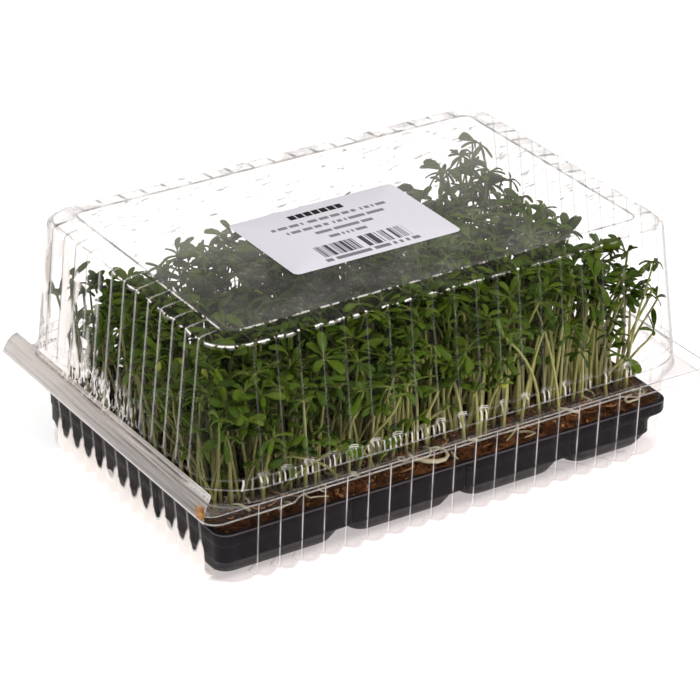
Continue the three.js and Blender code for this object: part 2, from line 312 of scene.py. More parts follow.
def closed_object(*parts, **options):
    """A mesh object whose open loops are each filled with one face, with its faces outward."""
    made = make_object(*parts, **options)
    work = bmesh.new()
    work.from_mesh(made.data)
    bmesh.ops.holes_fill(work, edges=[e for e in work.edges if e.is_boundary], sides=0)
    bmesh.ops.recalc_face_normals(work, faces=work.faces)
    work.to_mesh(made.data)
    work.free()
    return made


def grid_faces(rows, columns, wrap_rows=False, wrap_columns=True):
    """Quads of a grid of rows by columns points, joined round where asked."""
    r = np.arange(rows if wrap_rows else rows - 1)
    c = np.arange(columns if wrap_columns else columns - 1)
    r, c = np.meshgrid(r, c, indexing="ij")
    r2 = (r + 1) % rows
    c2 = (c + 1) % columns
    quads = np.stack([r * columns + c, r * columns + c2, r2 * columns + c2, r2 * columns + c], -1)
    return quads.reshape(-1, 4)


def repeat_faces(faces, per_copy, copies):
    """The same faces for each of many copies of per_copy points."""
    offsets = (np.arange(copies) * per_copy)[:, None, None]
    return (faces[None] + offsets).reshape(-1, faces.shape[1])


def lifted(plan, z):
    """A flat outline at height z."""
    return np.column_stack([plan, np.full(len(plan), z)])


# The clear sheet
FLUTE_STOPS = np.array([0.0, 0.04, 0.12, 0.3, 0.5, 0.7, 0.88, 0.96])
CORNER_STEPS = 22
CORNER_ARC = 19.0
FLANGE_CORNER = 5.0
TAB = 2.7
TAB_START_X = 56
TAB_RAMP = 5
SPARE_WEIGHT = 0.0015
# Strength of the painted haze that stands for reflection on the lid's panel
FOG = 0.040
# Colours at the two ends of the clear sheets' marks: a cream painted highlight and a dark painted shade
PAINTED_HIGHLIGHT = (1.0, 0.94, 0.90)
PAINTED_SHADE = (0.035, 0.035, 0.028)

# Where the marks of the sheets lie
LEFT_END_X = -76.0
RIGHT_END_X = 76.0
PANEL_EDGE_Z = 76.5
WALL_Z = (39.0, 75.0)
RIB_Z = (33.3, LID_FOOT_Z)
RIB_PITCH = 1.9
BAR_Z = ((36.8, 37.0), (37.4, 37.55))
FLANGE_SEAM_Z = 31.0
BASE_END_X = -78.5
FINGER_Z = (6.6, 12.5)


def perimeter():
    """The stations round the box: for each, the core point it stands off from, its direction out,
    its swell within a flute from 0 to 1, its distance in mm from the nearest groove, its share of
    the left side and its share of a corner (-1 on a straight side)."""
    parts = []

    def straight(count, start, end, normal):
        u = (np.arange(count)[:, None] + FLUTE_STOPS[None]).ravel() / count
        phase = np.tile(FLUTE_STOPS, count)
        start, end = np.array(start), np.array(end)
        core = start + (end - start) * u[:, None]
        n = np.tile(np.array(normal, float), (len(u), 1))
        off = np.minimum(phase, 1 - phase) * np.linalg.norm(end - start) / count
        parts.append((core, n, np.sin(math.pi * phase), off, np.full(len(u), -1.0)))

    def corner(center, first):
        middle = np.linspace(0.08, 0.92, CORNER_STEPS - 5)
        t = np.concatenate([[0, 0.012, 0.04], middle, [0.96, 0.988]])
        a = first + t * math.pi / 2
        core = np.tile(np.array(center, float), (len(t), 1))
        n = np.stack([np.cos(a), np.sin(a)], -1)
        off = np.minimum(t, 1 - t) * CORNER_ARC
        parts.append((core, n, np.sqrt(np.sin(math.pi * t)), off, t))

    x, y = STRAIGHT_X, STRAIGHT_Y
    straight(FLUTES_LONG, (-x, -y), (x, -y), (0, -1))
    corner((x, -y), -math.pi / 2)
    straight(FLUTES_SHORT, (x, -y), (x, y), (1, 0))
    corner((x, y), 0)
    straight(FLUTES_LONG, (x, y), (-x, y), (0, 1))
    corner((-x, y), math.pi / 2)
    straight(FLUTES_SHORT, (-x, y), (-x, -y), (-1, 0))
    corner((-x, -y), math.pi)
    core, normal, swell, off, turn = (np.concatenate(p) for p in zip(*parts))
    left = np.clip(-normal[:, 0] * 1.35, 0, 1) * (core[:, 0] < 0)
    return core, normal, swell, off, left, turn


def ring(z, right, half, left=None, z_left=None, flute=0.0, corner=None, tab=0.0):
    """One level's points. A fluted level stands off the core by its reach plus the flute's sine
    swell. A level with a corner radius keeps straight sides up to a small round corner."""
    core, normal, swell, _, lefty, turn = perimeter()
    left = -right if left is None else left
    z_left = z if z_left is None else z_left
    reach_x = np.where(core[:, 0] < 0, -left, right)
    x = core[:, 0] + normal[:, 0] * (reach_x - STRAIGHT_X + flute * swell)
    y = core[:, 1] + normal[:, 1] * (half - STRAIGHT_Y + flute * swell)
    sign_x = np.sign(core[:, 0])
    sign_y = np.sign(core[:, 1])
    if corner is not None:
        angle = np.arctan2(np.abs(normal[:, 1]), np.abs(normal[:, 0]))
        x = np.where(turn > 0, sign_x * (reach_x - corner + corner * np.cos(angle)), x)
        y = np.where(turn > 0, sign_y * (half + tab - corner + corner * np.sin(angle)), y)
    if tab:
        t = np.clip((np.abs(x) - TAB_START_X) / TAB_RAMP, 0, 1)
        long_side = (turn <= 0) & (np.abs(normal[:, 1]) > 0.5)
        y = np.where(long_side, y + sign_y * tab * t * t * (3 - 2 * t), y)
    return np.stack([x + BOX_X, y, z + (z_left - z) * lefty], -1)


def level(z, right, half, fluted=0.0, fog=0.0, seam=0.0, shade=0.0, **shape):
    """One level of a sheet: its points, and how fluted it is and how much painted haze, painted highlight
    and painted shade it carries.
    """
    return ring(z, right, half, **shape), (fluted, fog, seam, shade)


def sheet_object(name, levels, material, thickness, upside):
    """A closed thin shell through levels that run from the flat panel to the open edge. The inner
    face is the outer face moved in along its normals by the sheet's thickness, and not below the
    ground. upside is 1 for the lid and -1 for the base."""
    rings = [points for points, _ in levels]
    marks = np.array([values for _, values in levels], float)
    columns = len(rings[0])
    middle = rings[0].mean(0)
    caps = [middle + (rings[0] - middle) * share for share in (0.04, 0.35, 0.7)]
    grid = np.stack(caps + rings)
    marks = np.concatenate([[(0, marks[0, 1], 0, 0)] * len(caps), marks])
    along = np.roll(grid, -1, 1) - np.roll(grid, 1, 1)
    normals = np.cross(np.gradient(grid, axis=0), along) * upside
    normals /= np.maximum(np.linalg.norm(normals, axis=-1, keepdims=True), 1e-9)
    inner = grid - normals * thickness
    inner[..., 2] = np.maximum(inner[..., 2], 0.0)
    both = np.concatenate([marks, marks[::-1]])
    attributes = {"groove_mm": np.tile(perimeter()[3], len(both))}
    for key, values in zip(("fluted", "fog", "seam", "shade"), both.T):
        attributes[key] = np.repeat(values, columns)
    points = np.concatenate([grid, inner[::-1]])
    return closed_object(name, points, grid_faces(len(both), columns), material, attributes)


def groove_marks(off, fluted, width):
    """The thin line in each groove and the flank on either side of it."""
    line = (1 - off.step(0.03, width)) * fluted
    flank = (1 - off.step(0.30, 0.6)) * off.step(0.12, 0.3) * fluted
    return line, flank


def lid_marks(f, off, fluted, seam, glance, patch):
    """The lid's marks, each with its share and its tone, all painting light and shade on the clear
    sheet: bright lines in the grooves and broken dashes along the bent edges as painted highlights,
    darker flanks in the grooves as painted shade, short ribs and foam at the foot as painted
    highlights, fog, frost and strokes on the panel as painted reflection haze and painted shade, and
    panes, haze and grey outlines on the walls that stand far off as painted light and painted shade."""
    x, y, z = f.xyz
    fog = f.attribute("fog")
    cloud = f.noise(0.06, 4, 0.65)
    grain = f.noise(0.55, 2, 0.6)
    torn = f.noise(0.30, 2, 0.6).step(0.50, 0.55)

    # Where each mark lies
    lit = (0 - x * 0.5 - y).step(-10, 25)
    high = z.step(66, 74)
    end = x < LEFT_END_X
    side = 1 - end
    left_half = (0 - x).step(-25, 20)
    far = (y.step(34, 48) + x.step(64, 74)).minimum(1.0)
    far_left = end * y.step(8, 34)
    far_right = x > RIGHT_END_X
    slope = (z > PANEL_EDGE_Z) * (fluted > 0.2) * far
    upper = z.between(*WALL_Z) * far_left

    # Grooves and bent edges: painted highlights in the grooves and along the bent edges, brighter on the lit
    # front left, painted shade in the flanks beside the grooves, and painted reflection where the sheet is
    # seen edge on
    line, flank = groove_marks(off, fluted, 0.11)
    spoke = (x < -69.0) * high * side * grain.step(0.40, 0.5)
    line = line * (0.06 + patch * 0.07 * (1 - high) + end * 0.55 + high * end * 0.2 + spoke * 0.6)
    flank = flank * (0.05 + end * 0.03 + far_left * 0.42 + far_right * 0.22)
    rim = glance**6 * (0.42 - fluted * 0.22)
    spots = (1 - off.step(0.30, 0.42)) * (f.noise(0.9, 1, 0.5) > 0.44)
    dash = (torn * off.step(0.35, 0.6) * (0.12 + left_half * 0.88) + spots).minimum(1.0)
    low_seam = 0.10 + grain.step(0.40, 0.60) * 0.22
    bend = seam * (high * dash * (0.25 + 0.75 * lit) + (1 - high) * low_seam)

    # The panel: painted reflection as a haze, stronger towards the back, with bright frost specks, and
    # painted shade in dark lines and strokes
    frost = f.noise(0.45, 3, 0.7).step(0.56, 0.74) * cloud.step(0.42, 0.62)
    blur = y.step(-25, 40) * 2.5 + 0.25
    veil = fog * FOG * (0.15 + cloud.step(0.3, 0.7) * 0.9 + frost * 5.0 + blur)
    strokes = f.noise(1.0, 2, 0.5, at=(x * 0.16 + y * 0.05, y * 0.5 - x * 0.1, z))
    dark = f.attribute("shade") * (0.25 + patch * 0.45)
    dark = dark + strokes.step(0.66, 0.69) * fog * (1 - lit * 0.6) * 0.4

    # The foot: short ribs and foam of light drawn as painted highlights
    stripe = ((off + 0.05) / RIB_PITCH).fract()
    stripe = stripe.step(0.30, 0.38) * (1 - stripe.step(0.52, 0.60))
    upright = z.between(*RIB_Z) * stripe * side
    bar = sum(z.between(*limits) for limits in BAR_Z) * (1 - off.step(1.5, 1.8)) * side
    crowd = ((off < 1.7) + (x < -8.0)).minimum(1.0)
    grouped = f.noise(0.22, 1, 0.5).step(0.42, 0.56)
    rib = (upright * 0.36 * crowd + bar * 0.5) * grouped.maximum(0.2)
    foot = z.step(33.5, 35.5) * (1 - z.step(40, 47)) * end * y.step(-25, 10)
    foam = foot * f.noise(1.0, 3, 0.65, at=(x, y * 0.9, z * 0.3)).step(0.52, 0.60) * 0.8

    # Outlines against the background: grey painted shade along the far walls, the bent edges, the flange
    # seam and where the sheet is seen edge on, and panes and haze of painted light on the far left wall
    facet = slope * f.noise(0.12, 2, 0.6).step(0.47, 0.55) * 0.22
    # Painted shade: dark grey outlines along the far edges, the flange seam and where the sheet is seen edge
    # on
    edge_shade = slope * (1 - off.step(0.25, 0.6)) * patch * 0.55 + seam * high * far * torn * 0.5
    edge_shade = edge_shade + seam * (z < FLANGE_SEAM_Z) * 0.30
    edge_shade = edge_shade + glance**3 * (off > 3.8) * (z < 76.0) * 0.6
    pane = f.noise(1.0, 2, 0.5, at=(0.0, y * 0.13, z * 0.045)).step(0.53, 0.56) * upper * 0.7
    return [
        (line, 0.66 + end * 0.22),
        (flank, 0),
        (bend, 0.55 + lit * high * 0.45),
        (rim, 0.35),
        (veil, 0.66),
        (dark, 0),
        (rib, 0.95),
        (facet, 0.4),
        (edge_shade, 0.16),
        (pane, 0.9),
        (upper * 0.10, 0.4),
        (foam, 0.9),
    ]


def base_marks(f, off, fluted, seam, glance, patch):
    """The base's marks, each with its share and its tone, all painted light and shade: painted
    highlight lines and painted shade flanks in the grooves, painted highlights on the bends, grey
    painted reflection where it is seen edge on, and a pale glow of painted light at the left end,
    bent in by the flutes and broken by dark fingers."""
    x, y, z = f.xyz
    low = z.step(1.0, 6.0)
    # Painted highlights and shade in the grooves and on the bends, and painted reflection where the sheet is
    # seen edge on
    line, flank = groove_marks(off, fluted, 0.10)
    bend = seam * (0.14 + patch * 0.20) * (0.35 + low * 0.65)
    rim = glance**6 * (0.42 - fluted * 0.30) * (0.3 + low * 0.7)
    turn = 1 - ((y + STRAIGHT_Y) / (2 * STRAIGHT_Y / FLUTES_SHORT)).fract()
    wander = f.noise(0.5, 2, 0.6, at=(0.0, y * 0.9, z * 0.25))
    finger_low, finger_top = FINGER_Z
    depth = (finger_top - z) / (finger_top - finger_low) + (wander - 0.5) * 0.5
    finger = (turn - depth * 0.55).step(-0.06, 0.06) * (1.0 - depth * 0.28 - turn).step(-0.06, 0.06)
    finger = finger * (1 - depth.step(0.8, 1.05))
    # Painted light at the left end: a pale glow bent in by the flutes, left open in dark fingers
    bent_light = (x < BASE_END_X) * (1 - finger) * (1 - z.step(10.5, finger_top))
    bent_light = bent_light * (y.absolute() < STRAIGHT_Y + 2.0) * 0.55
    return [
        (line * (0.34 + patch * 0.28), 0.95),
        (flank * 0.10, 0),
        (bend, 0.70),
        (rim, 0.75),
        (bent_light, 1.0),
    ]


def clear_finish(name, tint, marks_of):
    """Clear moulded sheet. Its see-through share gives way to a body colour where it has marks, which
    are painted light and shade: the marks' shares add up to the body's share, and their weighted mean
    of tones picks its colour from dark painted shade to cream painted highlight. The body glows a
    little as painted light. A thin gloss lies over both, stronger where the sheet is seen edge on."""
    f = Finish(name)
    fluted = f.attribute("fluted")
    glance = f.glance()
    patch = f.noise(0.13, 1, 0.5).step(0.35, 0.65)
    marks = marks_of(f, f.attribute("groove_mm"), fluted, f.attribute("seam"), glance, patch)
    weight = sum((share for share, tone in marks), SPARE_WEIGHT)
    bright = sum(share * tone for share, tone in marks if tone)
    # The marks' colour runs from dark painted shade to cream painted highlight
    color = f.mix((bright / weight).clamp(), PAINTED_SHADE, PAINTED_HIGHLIGHT)
    # The body glows a little in its own colour: painted light
    body = f.principled(
        Base_Color=color,
        Roughness=0.25,
        Specular_IOR_Level=0.5,
        Emission_Color=color,
        Emission_Strength=0.3,
    )
    gloss = f.principled(Base_Color=(1.0, 1.0, 1.0), Metallic=1.0, Roughness=0.07)
    sheet = f.blend(weight.clamp(), f.transparent(tint), body)
    return f.close(f.blend((0.001 + glance**5 * (0.22 - fluted * 0.17)).clamp(), sheet, gloss))


def band_finish(name, color):
    """The stressed band of sheet along the fold: satin and streaked along its length, paler towards
    the back, with painted shade across its lower middle, painted highlights along both edges and in a
    sparkling streak near the front, and an amber spot at its end."""
    f = Finish(name)
    x, y, z = f.xyz
    across = f.attribute("across")
    streak = f.noise(1.0, 4, 0.6, at=(across * 9.0, y * 0.02, 0.0))
    grain = f.noise(1.3, 3, 0.6, at=(x * 0.8, y * 2.2, z * 0.8))
    back = y.step(-65, 60)
    near = (0 - y).step(5, 50)
    dark = scaled(color, 0.42)
    pale_share = (back * 0.55 + (streak - 0.5) * 2.6 + (grain - 0.5) * 0.8 + 0.45).clamp()
    tone = f.mix(pale_share, dark, scaled(color, 2.0))
    # Painted shade across the lower middle of the curved band, weaker towards the back
    tone = f.mix(across.step(0.35, 0.75) * (1 - back * 0.7) * 0.6, tone, dark)
    # Painted highlights: a sparkling streak near the front and bright lines along both edges
    sparkle = near * (1 - (across - 0.16).absolute().step(0.05, 0.16)) * grain.step(0.42, 0.6)
    edges = (1 - across.step(0.02, 0.06)) + across.step(0.95, 0.98)
    tone = f.mix((sparkle + edges * 0.8).clamp(), tone, (0.96, 0.94, 0.92))
    spot_y = (y + 58.7) / 3.0
    spot_a = (across - 0.76) / 0.24
    amber = 1 - (spot_a * spot_a + spot_y * spot_y + (grain - 0.5) * 1.6).step(0.5, 1.2)
    # The amber spot: dark amber mottled with pale amber painted highlights
    amber_and_glints = f.mix(grain.step(0.5, 0.62), (0.30, 0.10, 0.006), (0.75, 0.40, 0.05))
    body = f.principled(
        Base_Color=f.mix(amber, tone, amber_and_glints),
        Roughness=0.32,
        Specular_IOR_Level=0.6,
        Normal=f.bump(grain + streak, 0.35, 0.25 * MM),
    )
    share = (0.60 + streak * 0.25 + amber * 0.3 + edges * 0.3).clamp()
    return f.close(f.blend(share, f.transparent((0.95, 0.93, 0.92)), body))


def lid_levels(flute):
    """The lid from its panel down to the flange edge. Along the left side the skirt is a convex band
    that runs out and down to the fold."""
    foot_x, foot_y, foot_z = LID_FOOT_X, LID_FOOT_Y, LID_FOOT_Z
    skirt_x, skirt_y = foot_x + 0.7, foot_y + 0.7
    top = LID_FLANGE_Z + 0.7
    edge = dict(left=HINGE_X, corner=FLANGE_CORNER)
    return [
        level(LID_TOP, 70.9, 46.1, fog=1.0),
        level(LID_TOP, 71.2, 46.4, fog=1.0, shade=0.9),
        level(LID_TOP, 71.5, 46.7, fog=1.0, shade=0.9),
        level(LID_TOP - 0.02, 71.8, 47.0, fog=1.0),
        level(LID_TOP - 0.05, 72.1, 47.3, 0.3, fog=0.8, seam=0.6),
        level(LID_TOP - 0.12, 72.5, 47.7, 0.8, fog=0.3),
        level(77.3, 77.9, 53.1, 1.0, fog=0.2, flute=0.1),
        level(77.0, 78.6, 53.8, 1.0, shade=0.5, flute=0.3),
        level(76.88, 78.85, 54.05, 1.0, seam=0.2, flute=0.42),
        level(76.72, 79.0, 54.2, 1.0, seam=1.0, flute=0.5),
        level(PANEL_EDGE_Z, 79.12, 54.32, 1.0, seam=0.1, flute=0.65),
        level(75.9, 79.35, 54.55, 1.0, flute=0.95 * flute),
        level(74.9, 79.45, 54.65, 1.0, flute=flute),
        level(foot_z + 0.8, foot_x - 0.1, foot_y - 0.1, 1.0, flute=flute),
        level(foot_z + 0.3, foot_x, foot_y, 1.0, shade=0.3, flute=flute * 0.9),
        level(foot_z, foot_x + 0.1, foot_y + 0.1, 0.6, seam=0.4, flute=flute * 0.8),
        level(foot_z - 0.3, skirt_x - 0.1, skirt_y - 0.1, flute=0.5),
        level(foot_z - 1.1, skirt_x + 0.5, skirt_y + 0.5),
        level(33.7, skirt_x + 0.6, skirt_y + 0.6, left=-skirt_x - 1.5, z_left=34.7),
        level(33.45, skirt_x + 0.62, skirt_y + 0.62, shade=0.7, left=-skirt_x - 1.8, z_left=34.4),
        level(33.2, skirt_x + 0.64, skirt_y + 0.64, 0, 0, 1.0, 0.2, left=-skirt_x - 2.1, z_left=34.1),
        level(32.9, skirt_x + 0.65, skirt_y + 0.65, left=-skirt_x - 2.4, z_left=33.8),
        level(top + 0.45, skirt_x + 0.85, skirt_y + 0.85, shade=0.2, left=HINGE_X + 0.25, z_left=30.2),
        level(top, skirt_x + 1.1, skirt_y + 1.0, seam=0.3, left=HINGE_X + 0.12, z_left=29.9),
        level(top, skirt_x + 1.4, skirt_y + 1.25, left=HINGE_X + 0.1, z_left=29.9),
        level(top, 90.15, 61.3, left=HINGE_X + 0.05, z_left=top + 0.1, corner=FLANGE_CORNER),
        level(top, 90.5, 61.6, seam=1.0, **edge),
        level(LID_FLANGE_Z + 0.4, 90.5, 61.6, seam=1.0, **edge),
    ]


def base_levels(flute):
    """The base from its floor up to the flange edge; each flute ends in a rounded lobe there, whose
    height and reach follow a quarter turn."""
    low_x, low_y, low_z = 79.65, 54.85, 4.6
    rows = [level(0, low_x - 5.6, low_y - 5.6, flute=3.4)]
    for k in np.linspace(0, 1, 7):
        z = low_z * (1 - math.cos(k * math.pi / 2))
        reach = -4.15 * (1 - math.sin(k * math.pi / 2)) ** 1.2
        swell = flute + (3.7 - flute) * (1 - k) ** 0.8
        seam = 0.8 * (k == 0)
        rows.append(level(z, low_x + reach, low_y + reach, 0.4 + 0.6 * k, seam=seam, flute=swell))
    edge = dict(corner=FLANGE_CORNER, tab=TAB)
    top = BASE_FLANGE_Z
    return rows + [
        level(25.2, 81.1, 56.3, 1.0, flute=flute),
        level(25.8, 81.3, 56.5, 0.8, flute=flute * 0.7),
        level(26.1, 81.7, 56.9, seam=0.2, flute=0.5),
        level(26.4, 82.2, 57.4, flute=0.2),
        level(26.9, 83.3, 58.5),
        level(top, 83.8, 59.0, seam=0.1),
        level(top + 0.3, 84.4, 59.6),
        level(top + 0.3, 86.0, 61.2, left=HINGE_X + 0.4, **edge),
        level(top + 0.3, 86.5, 61.6, seam=0.8, left=HINGE_X, **edge),
        level(top + 0.7, 86.5, 61.6, seam=0.8, left=HINGE_X, **edge),
    ]


class CRESS_OT_box_lid(bpy.types.Operator):
    """Builds the clear lid with its fluted walls and its flange"""

    bl_idname = "cress.box_lid"
    bl_label = "Clear lid"

    def execute(self, context):
        box = context.scene.cress_box
        finish = clear_finish("clear_lid", box.lid_tint, lid_marks)
        lid = sheet_object("clear_lid", lid_levels(box.flute / MM), finish, box.sheet / MM, 1)
        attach(lid, LID)
        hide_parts("box_lid")
        return {"FINISHED"}


class CRESS_OT_box_base(bpy.types.Operator):
    """Builds the clear base with its scalloped foot and its flange"""

    bl_idname = "cress.box_base"
    bl_label = "Clear base"

    def execute(self, context):
        box = context.scene.cress_box
        finish = clear_finish("clear_base", box.base_tint, base_marks)
        base = sheet_object("clear_base", base_levels(box.flute / MM), finish, box.sheet / MM, -1)
        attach(base, BASE)
        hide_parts("box_base")
        return {"FINISHED"}


def band_grid():
    """The fold's band: a thin closed section, part quarter ellipse and part straight, swept along
    the fold with slanted ends. Gives the points and each point's share across the band."""
    top_x, top_z, out, down, half_thick = -84.6, 34.8, 4.2, 6.6, 0.12
    t = np.linspace(0, 1, 15)
    arc = np.stack([top_x - out * np.sin(t * math.pi / 2), top_z - down * (1 - np.cos(t * math.pi / 2))], -1)
    flat = np.stack([top_x - out * t, top_z - down * t], -1)
    outer = arc * 0.7 + flat * 0.3
    normal = np.stack([-np.gradient(outer[:, 1]), np.gradient(outer[:, 0])], -1)
    normal /= np.linalg.norm(normal, axis=1, keepdims=True)
    section = np.concatenate([outer - normal * half_thick, (outer + normal * half_thick)[::-1]])
    trim = np.concatenate([t, t[::-1]])
    start = -58.6 - 3.0 * np.sqrt(trim)[None]
    end = 62.0 + 2.0 * trim[None]
    y = start + (end - start) * np.linspace(0, 1, 60)[:, None]
    x = np.broadcast_to(section[None, :, 0], y.shape) + BOX_X
    z = np.broadcast_to(section[None, :, 1], y.shape)
    return np.stack([x, y, z], -1), np.tile(trim, len(y))


class CRESS_OT_fold_band(bpy.types.Operator):
    """Builds the stressed satin band that runs along the fold on the left"""

    bl_idname = "cress.fold_band"
    bl_label = "Fold band"

    def execute(self, context):
        points, across = band_grid()
        faces = grid_faces(*points.shape[:2])
        finish = band_finish("fold_band", context.scene.cress_box.band)
        made = closed_object("fold_band", points, faces, finish, {"across": across})
        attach(made, LID)
        return {"FINISHED"}


# Tray and soil
TRAY_X = BOX_X + 0.5
PITCH_X = 38.6
PITCH_Y = 35.6
TRAY_BAND = 8.4
TRAY_FLOOR = 1.35
COLUMN_LINES = (-80.9, -36.3, 3.6, 41.9, 78.9)
ROW_LINES = (-55.1, -17.8, 17.8, 53.9)
OVERHANG_Z = 13.2
INWARD = np.array([1.0, -1.0, 1.0, -1.0])
SOIL_X = 75
SOIL_Y = 51
FIBRES = 1700
ROOTS = 22


def rounded(half_x, half_y, radius, steps=8):
    """A rounded rectangle, steps points on each quarter circle, radius given for each corner
    in turn from the front right one, counterclockwise."""
    radius = np.broadcast_to(np.asarray(radius, float), (4,))
    sign = np.array([[1, -1], [1, 1], [-1, 1], [-1, -1]], float)
    first = np.array([-90, 0, 90, 180.0])
    a = np.radians(first[:, None] + np.linspace(0, 90, steps)[None])
    x = sign[:, 0:1] * (half_x - radius[:, None]) + radius[:, None] * np.cos(a)
    y = sign[:, 1:2] * (half_y - radius[:, None]) + radius[:, None] * np.sin(a)
    return np.stack([x.ravel(), y.ravel()], -1)


def plan_of(limits, radius, steps=8):
    """A rounded rectangle between limits left, right, front, back."""
    left, right, front, back = limits
    plan = rounded((right - left) / 2, (back - front) / 2, radius, steps)
    return plan + np.array([(left + right) / 2, (front + back) / 2])


def cell_centres():
    """The centre of each cell, row by row from the front left."""
    column = (np.arange(4) - 1.5) * PITCH_X + TRAY_X
    row = (np.arange(3) - 1) * PITCH_Y
    return np.array([(x, y) for y in row for x in column])


def tray_finish(name, color):
    """Near-black moulded plastic: satin, faintly mottled, with soft scuffs and a painted highlight line
    along the top edge of the rim.
    """
    f = Finish(name)
    x, y, z = f.xyz
    mottle = f.noise(0.25, 4, 0.6)
    scuff = f.noise(0.5, 5, 0.7, at=(x, y, z * 3.0)).step(0.55, 0.75)
    tone = f.mix(mottle, color, scaled(color, 1.8))
    # A painted highlight along the top edge of the rim
    tone = f.mix(z.between(17.1, 17.5) * 0.8, tone, (0.13, 0.11, 0.12))
    return f.close(
        f.principled(
            Base_Color=f.mix(scuff * 0.2, tone, (0.03, 0.028, 0.032)),
            Roughness=0.30 + mottle * 0.22,
            Specular_IOR_Level=0.1,
        )
    )


def cell_walls(column, row):
    """A cell's limits under the rim as left, right, front, back, which of them lie on the tray's
    outside, and how far its wall stands inside them at the top and at the foot. The rim hangs over
    the last column at the right end."""
    left, right = COLUMN_LINES[column : column + 2]
    front, back = ROW_LINES[row : row + 2]
    outer = np.array([column == 0, column == 3, row == 0, row == 2])
    top = np.where(outer, [0.4, 6.0, 0.4, 0.4], 2.3)
    foot = np.where(outer, [1.7, 7.6, 4.4, 3.0], 4.0)
    return np.array([left, right, front, back]), outer, top, foot


def tray_cell(column, row):
    """One cell as a closed loft: out over its foot, up its tapered wall, out to the joining band, up to
    the rim and back down its inside."""
    limits, outer, top, foot = cell_walls(column, row)
    left, right, front, back = outer
    outside = [right and front, right and back, left and back, left and front]
    corners = np.where(outside, 4.5, 0.4)
    hang = np.array([0, 1, 0, 0]) * outer

    def wall(z, inset, radius, heel=0.0):
        share = np.clip((TRAY_BAND - z) / (TRAY_BAND - TRAY_FLOOR), 0, 1)
        return limits + INWARD * (top + (foot - top) * share + inset + outer * heel), radius, z

    def band(z, inset, radius=corners):
        return limits + INWARD * (inset + 0.01), radius, z

    def under(z, inset):
        return band(z, inset * (1 - outer) + 0.2 * outer + hang * (inset + 5.6))

    levels = [
        wall(TRAY_FLOOR - 0.35, 8, 2),
        wall(TRAY_FLOOR - 0.35, 2.0, 3.5, 2.0),
        wall(TRAY_FLOOR, 0.9, 4.2, 1.5),
        wall(TRAY_FLOOR + 0.7, 0.3, 4.6, 0.9),
        wall(TRAY_FLOOR + 1.8, 0.05, 4.6, 0.3),
        wall(TRAY_FLOOR + 4, 0, 4.6),
        wall(TRAY_BAND - 0.9, 0, 4.2),
        wall(TRAY_BAND - 0.3, -0.2, 4.0),
        under(TRAY_BAND, 0.9),
        under(TRAY_BAND + 0.35, 0.2),
        under(TRAY_BAND + 0.9, 0),
        under(OVERHANG_Z - 0.3, 0),
        under(OVERHANG_Z, -0.2),
        band(OVERHANG_Z + 0.5, 0.3 * hang),
        band(OVERHANG_Z + 1.0, 0),
        band(TRAY_TOP - 0.3, 0),
        band(TRAY_TOP, 0.2),
        band(TRAY_TOP, 0.8, 4.5),
        band(TRAY_TOP - 0.3, 1.1, 4.2),
        wall(TRAY_BAND, 0.8, 4.2),
        wall(TRAY_FLOOR + 2.4, 0.9, 4),
        wall(TRAY_FLOOR + 1.1, 2.6, 3),
        wall(TRAY_FLOOR + 1.1, 9, 2),
    ]
    return np.stack([lifted(plan_of(box, radius), z) for box, radius, z in levels])


def tray_rim():
    """The rolled rim round the whole tray, as a closed loop of levels."""
    outline = np.array([COLUMN_LINES[0], COLUMN_LINES[-1], ROW_LINES[0], ROW_LINES[-1]])
    levels = [
        (1.6, 3.5, -1.3),
        (0.4, 4.2, -1.1),
        (-0.1, 4.6, -0.7),
        (-0.1, 4.6, -0.3),
        (0.1, 4.5, 0.0),
        (1.0, 4.0, 0.05),
        (1.8, 3.5, -0.1),
    ]
    rows = [lifted(plan_of(outline + INWARD * inset, radius), TRAY_TOP + z) for inset, radius, z in levels]
    return np.stack(rows)


class CRESS_OT_tray(bpy.types.Operator):
    """Builds the black tray of twelve tapered cells with its rounded rim"""

    bl_idname = "cress.tray"
    bl_label = "Cell tray"

    def execute(self, context):
        cells = np.stack([tray_cell(column, row) for row in range(3) for column in range(4)])
        copies, rows, columns, _ = cells.shape
        sides = repeat_faces(grid_faces(rows, columns), rows * columns, copies)
        cells = cells.reshape(-1, 3)
        rim = tray_rim()
        rim_faces = grid_faces(*rim.shape[:2], wrap_rows=True) + len(cells)
        points = np.concatenate([cells, rim.reshape(-1, 3)])
        faces = np.concatenate([sides, rim_faces])
        finish = tray_finish("black_tray", context.scene.cress_box.tray)
        made = closed_object("black_tray", points, faces, finish, smooth=False)
        made.data.shade_smooth()
        made.data.set_sharp_from_angle(angle=math.radians(40))
        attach(made, BASE)
        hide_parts("cell_tray")
        return {"FINISHED"}


def ripple(x, y, seed, scale, count=9):
    """A smooth bumpy field: the mean of count plane waves of random direction and phase."""
    draw = np.random.default_rng(seed)
    angle = draw.uniform(0, 2 * math.pi, count)
    pace = scale * draw.uniform(0.6, 1.6, count)
    phase = draw.uniform(0, 2 * math.pi, count)
    waves = np.sin(x[..., None] * np.cos(angle) * pace + y[..., None] * np.sin(angle) * pace + phase)
    return waves.mean(-1) * math.sqrt(count) / 1.2


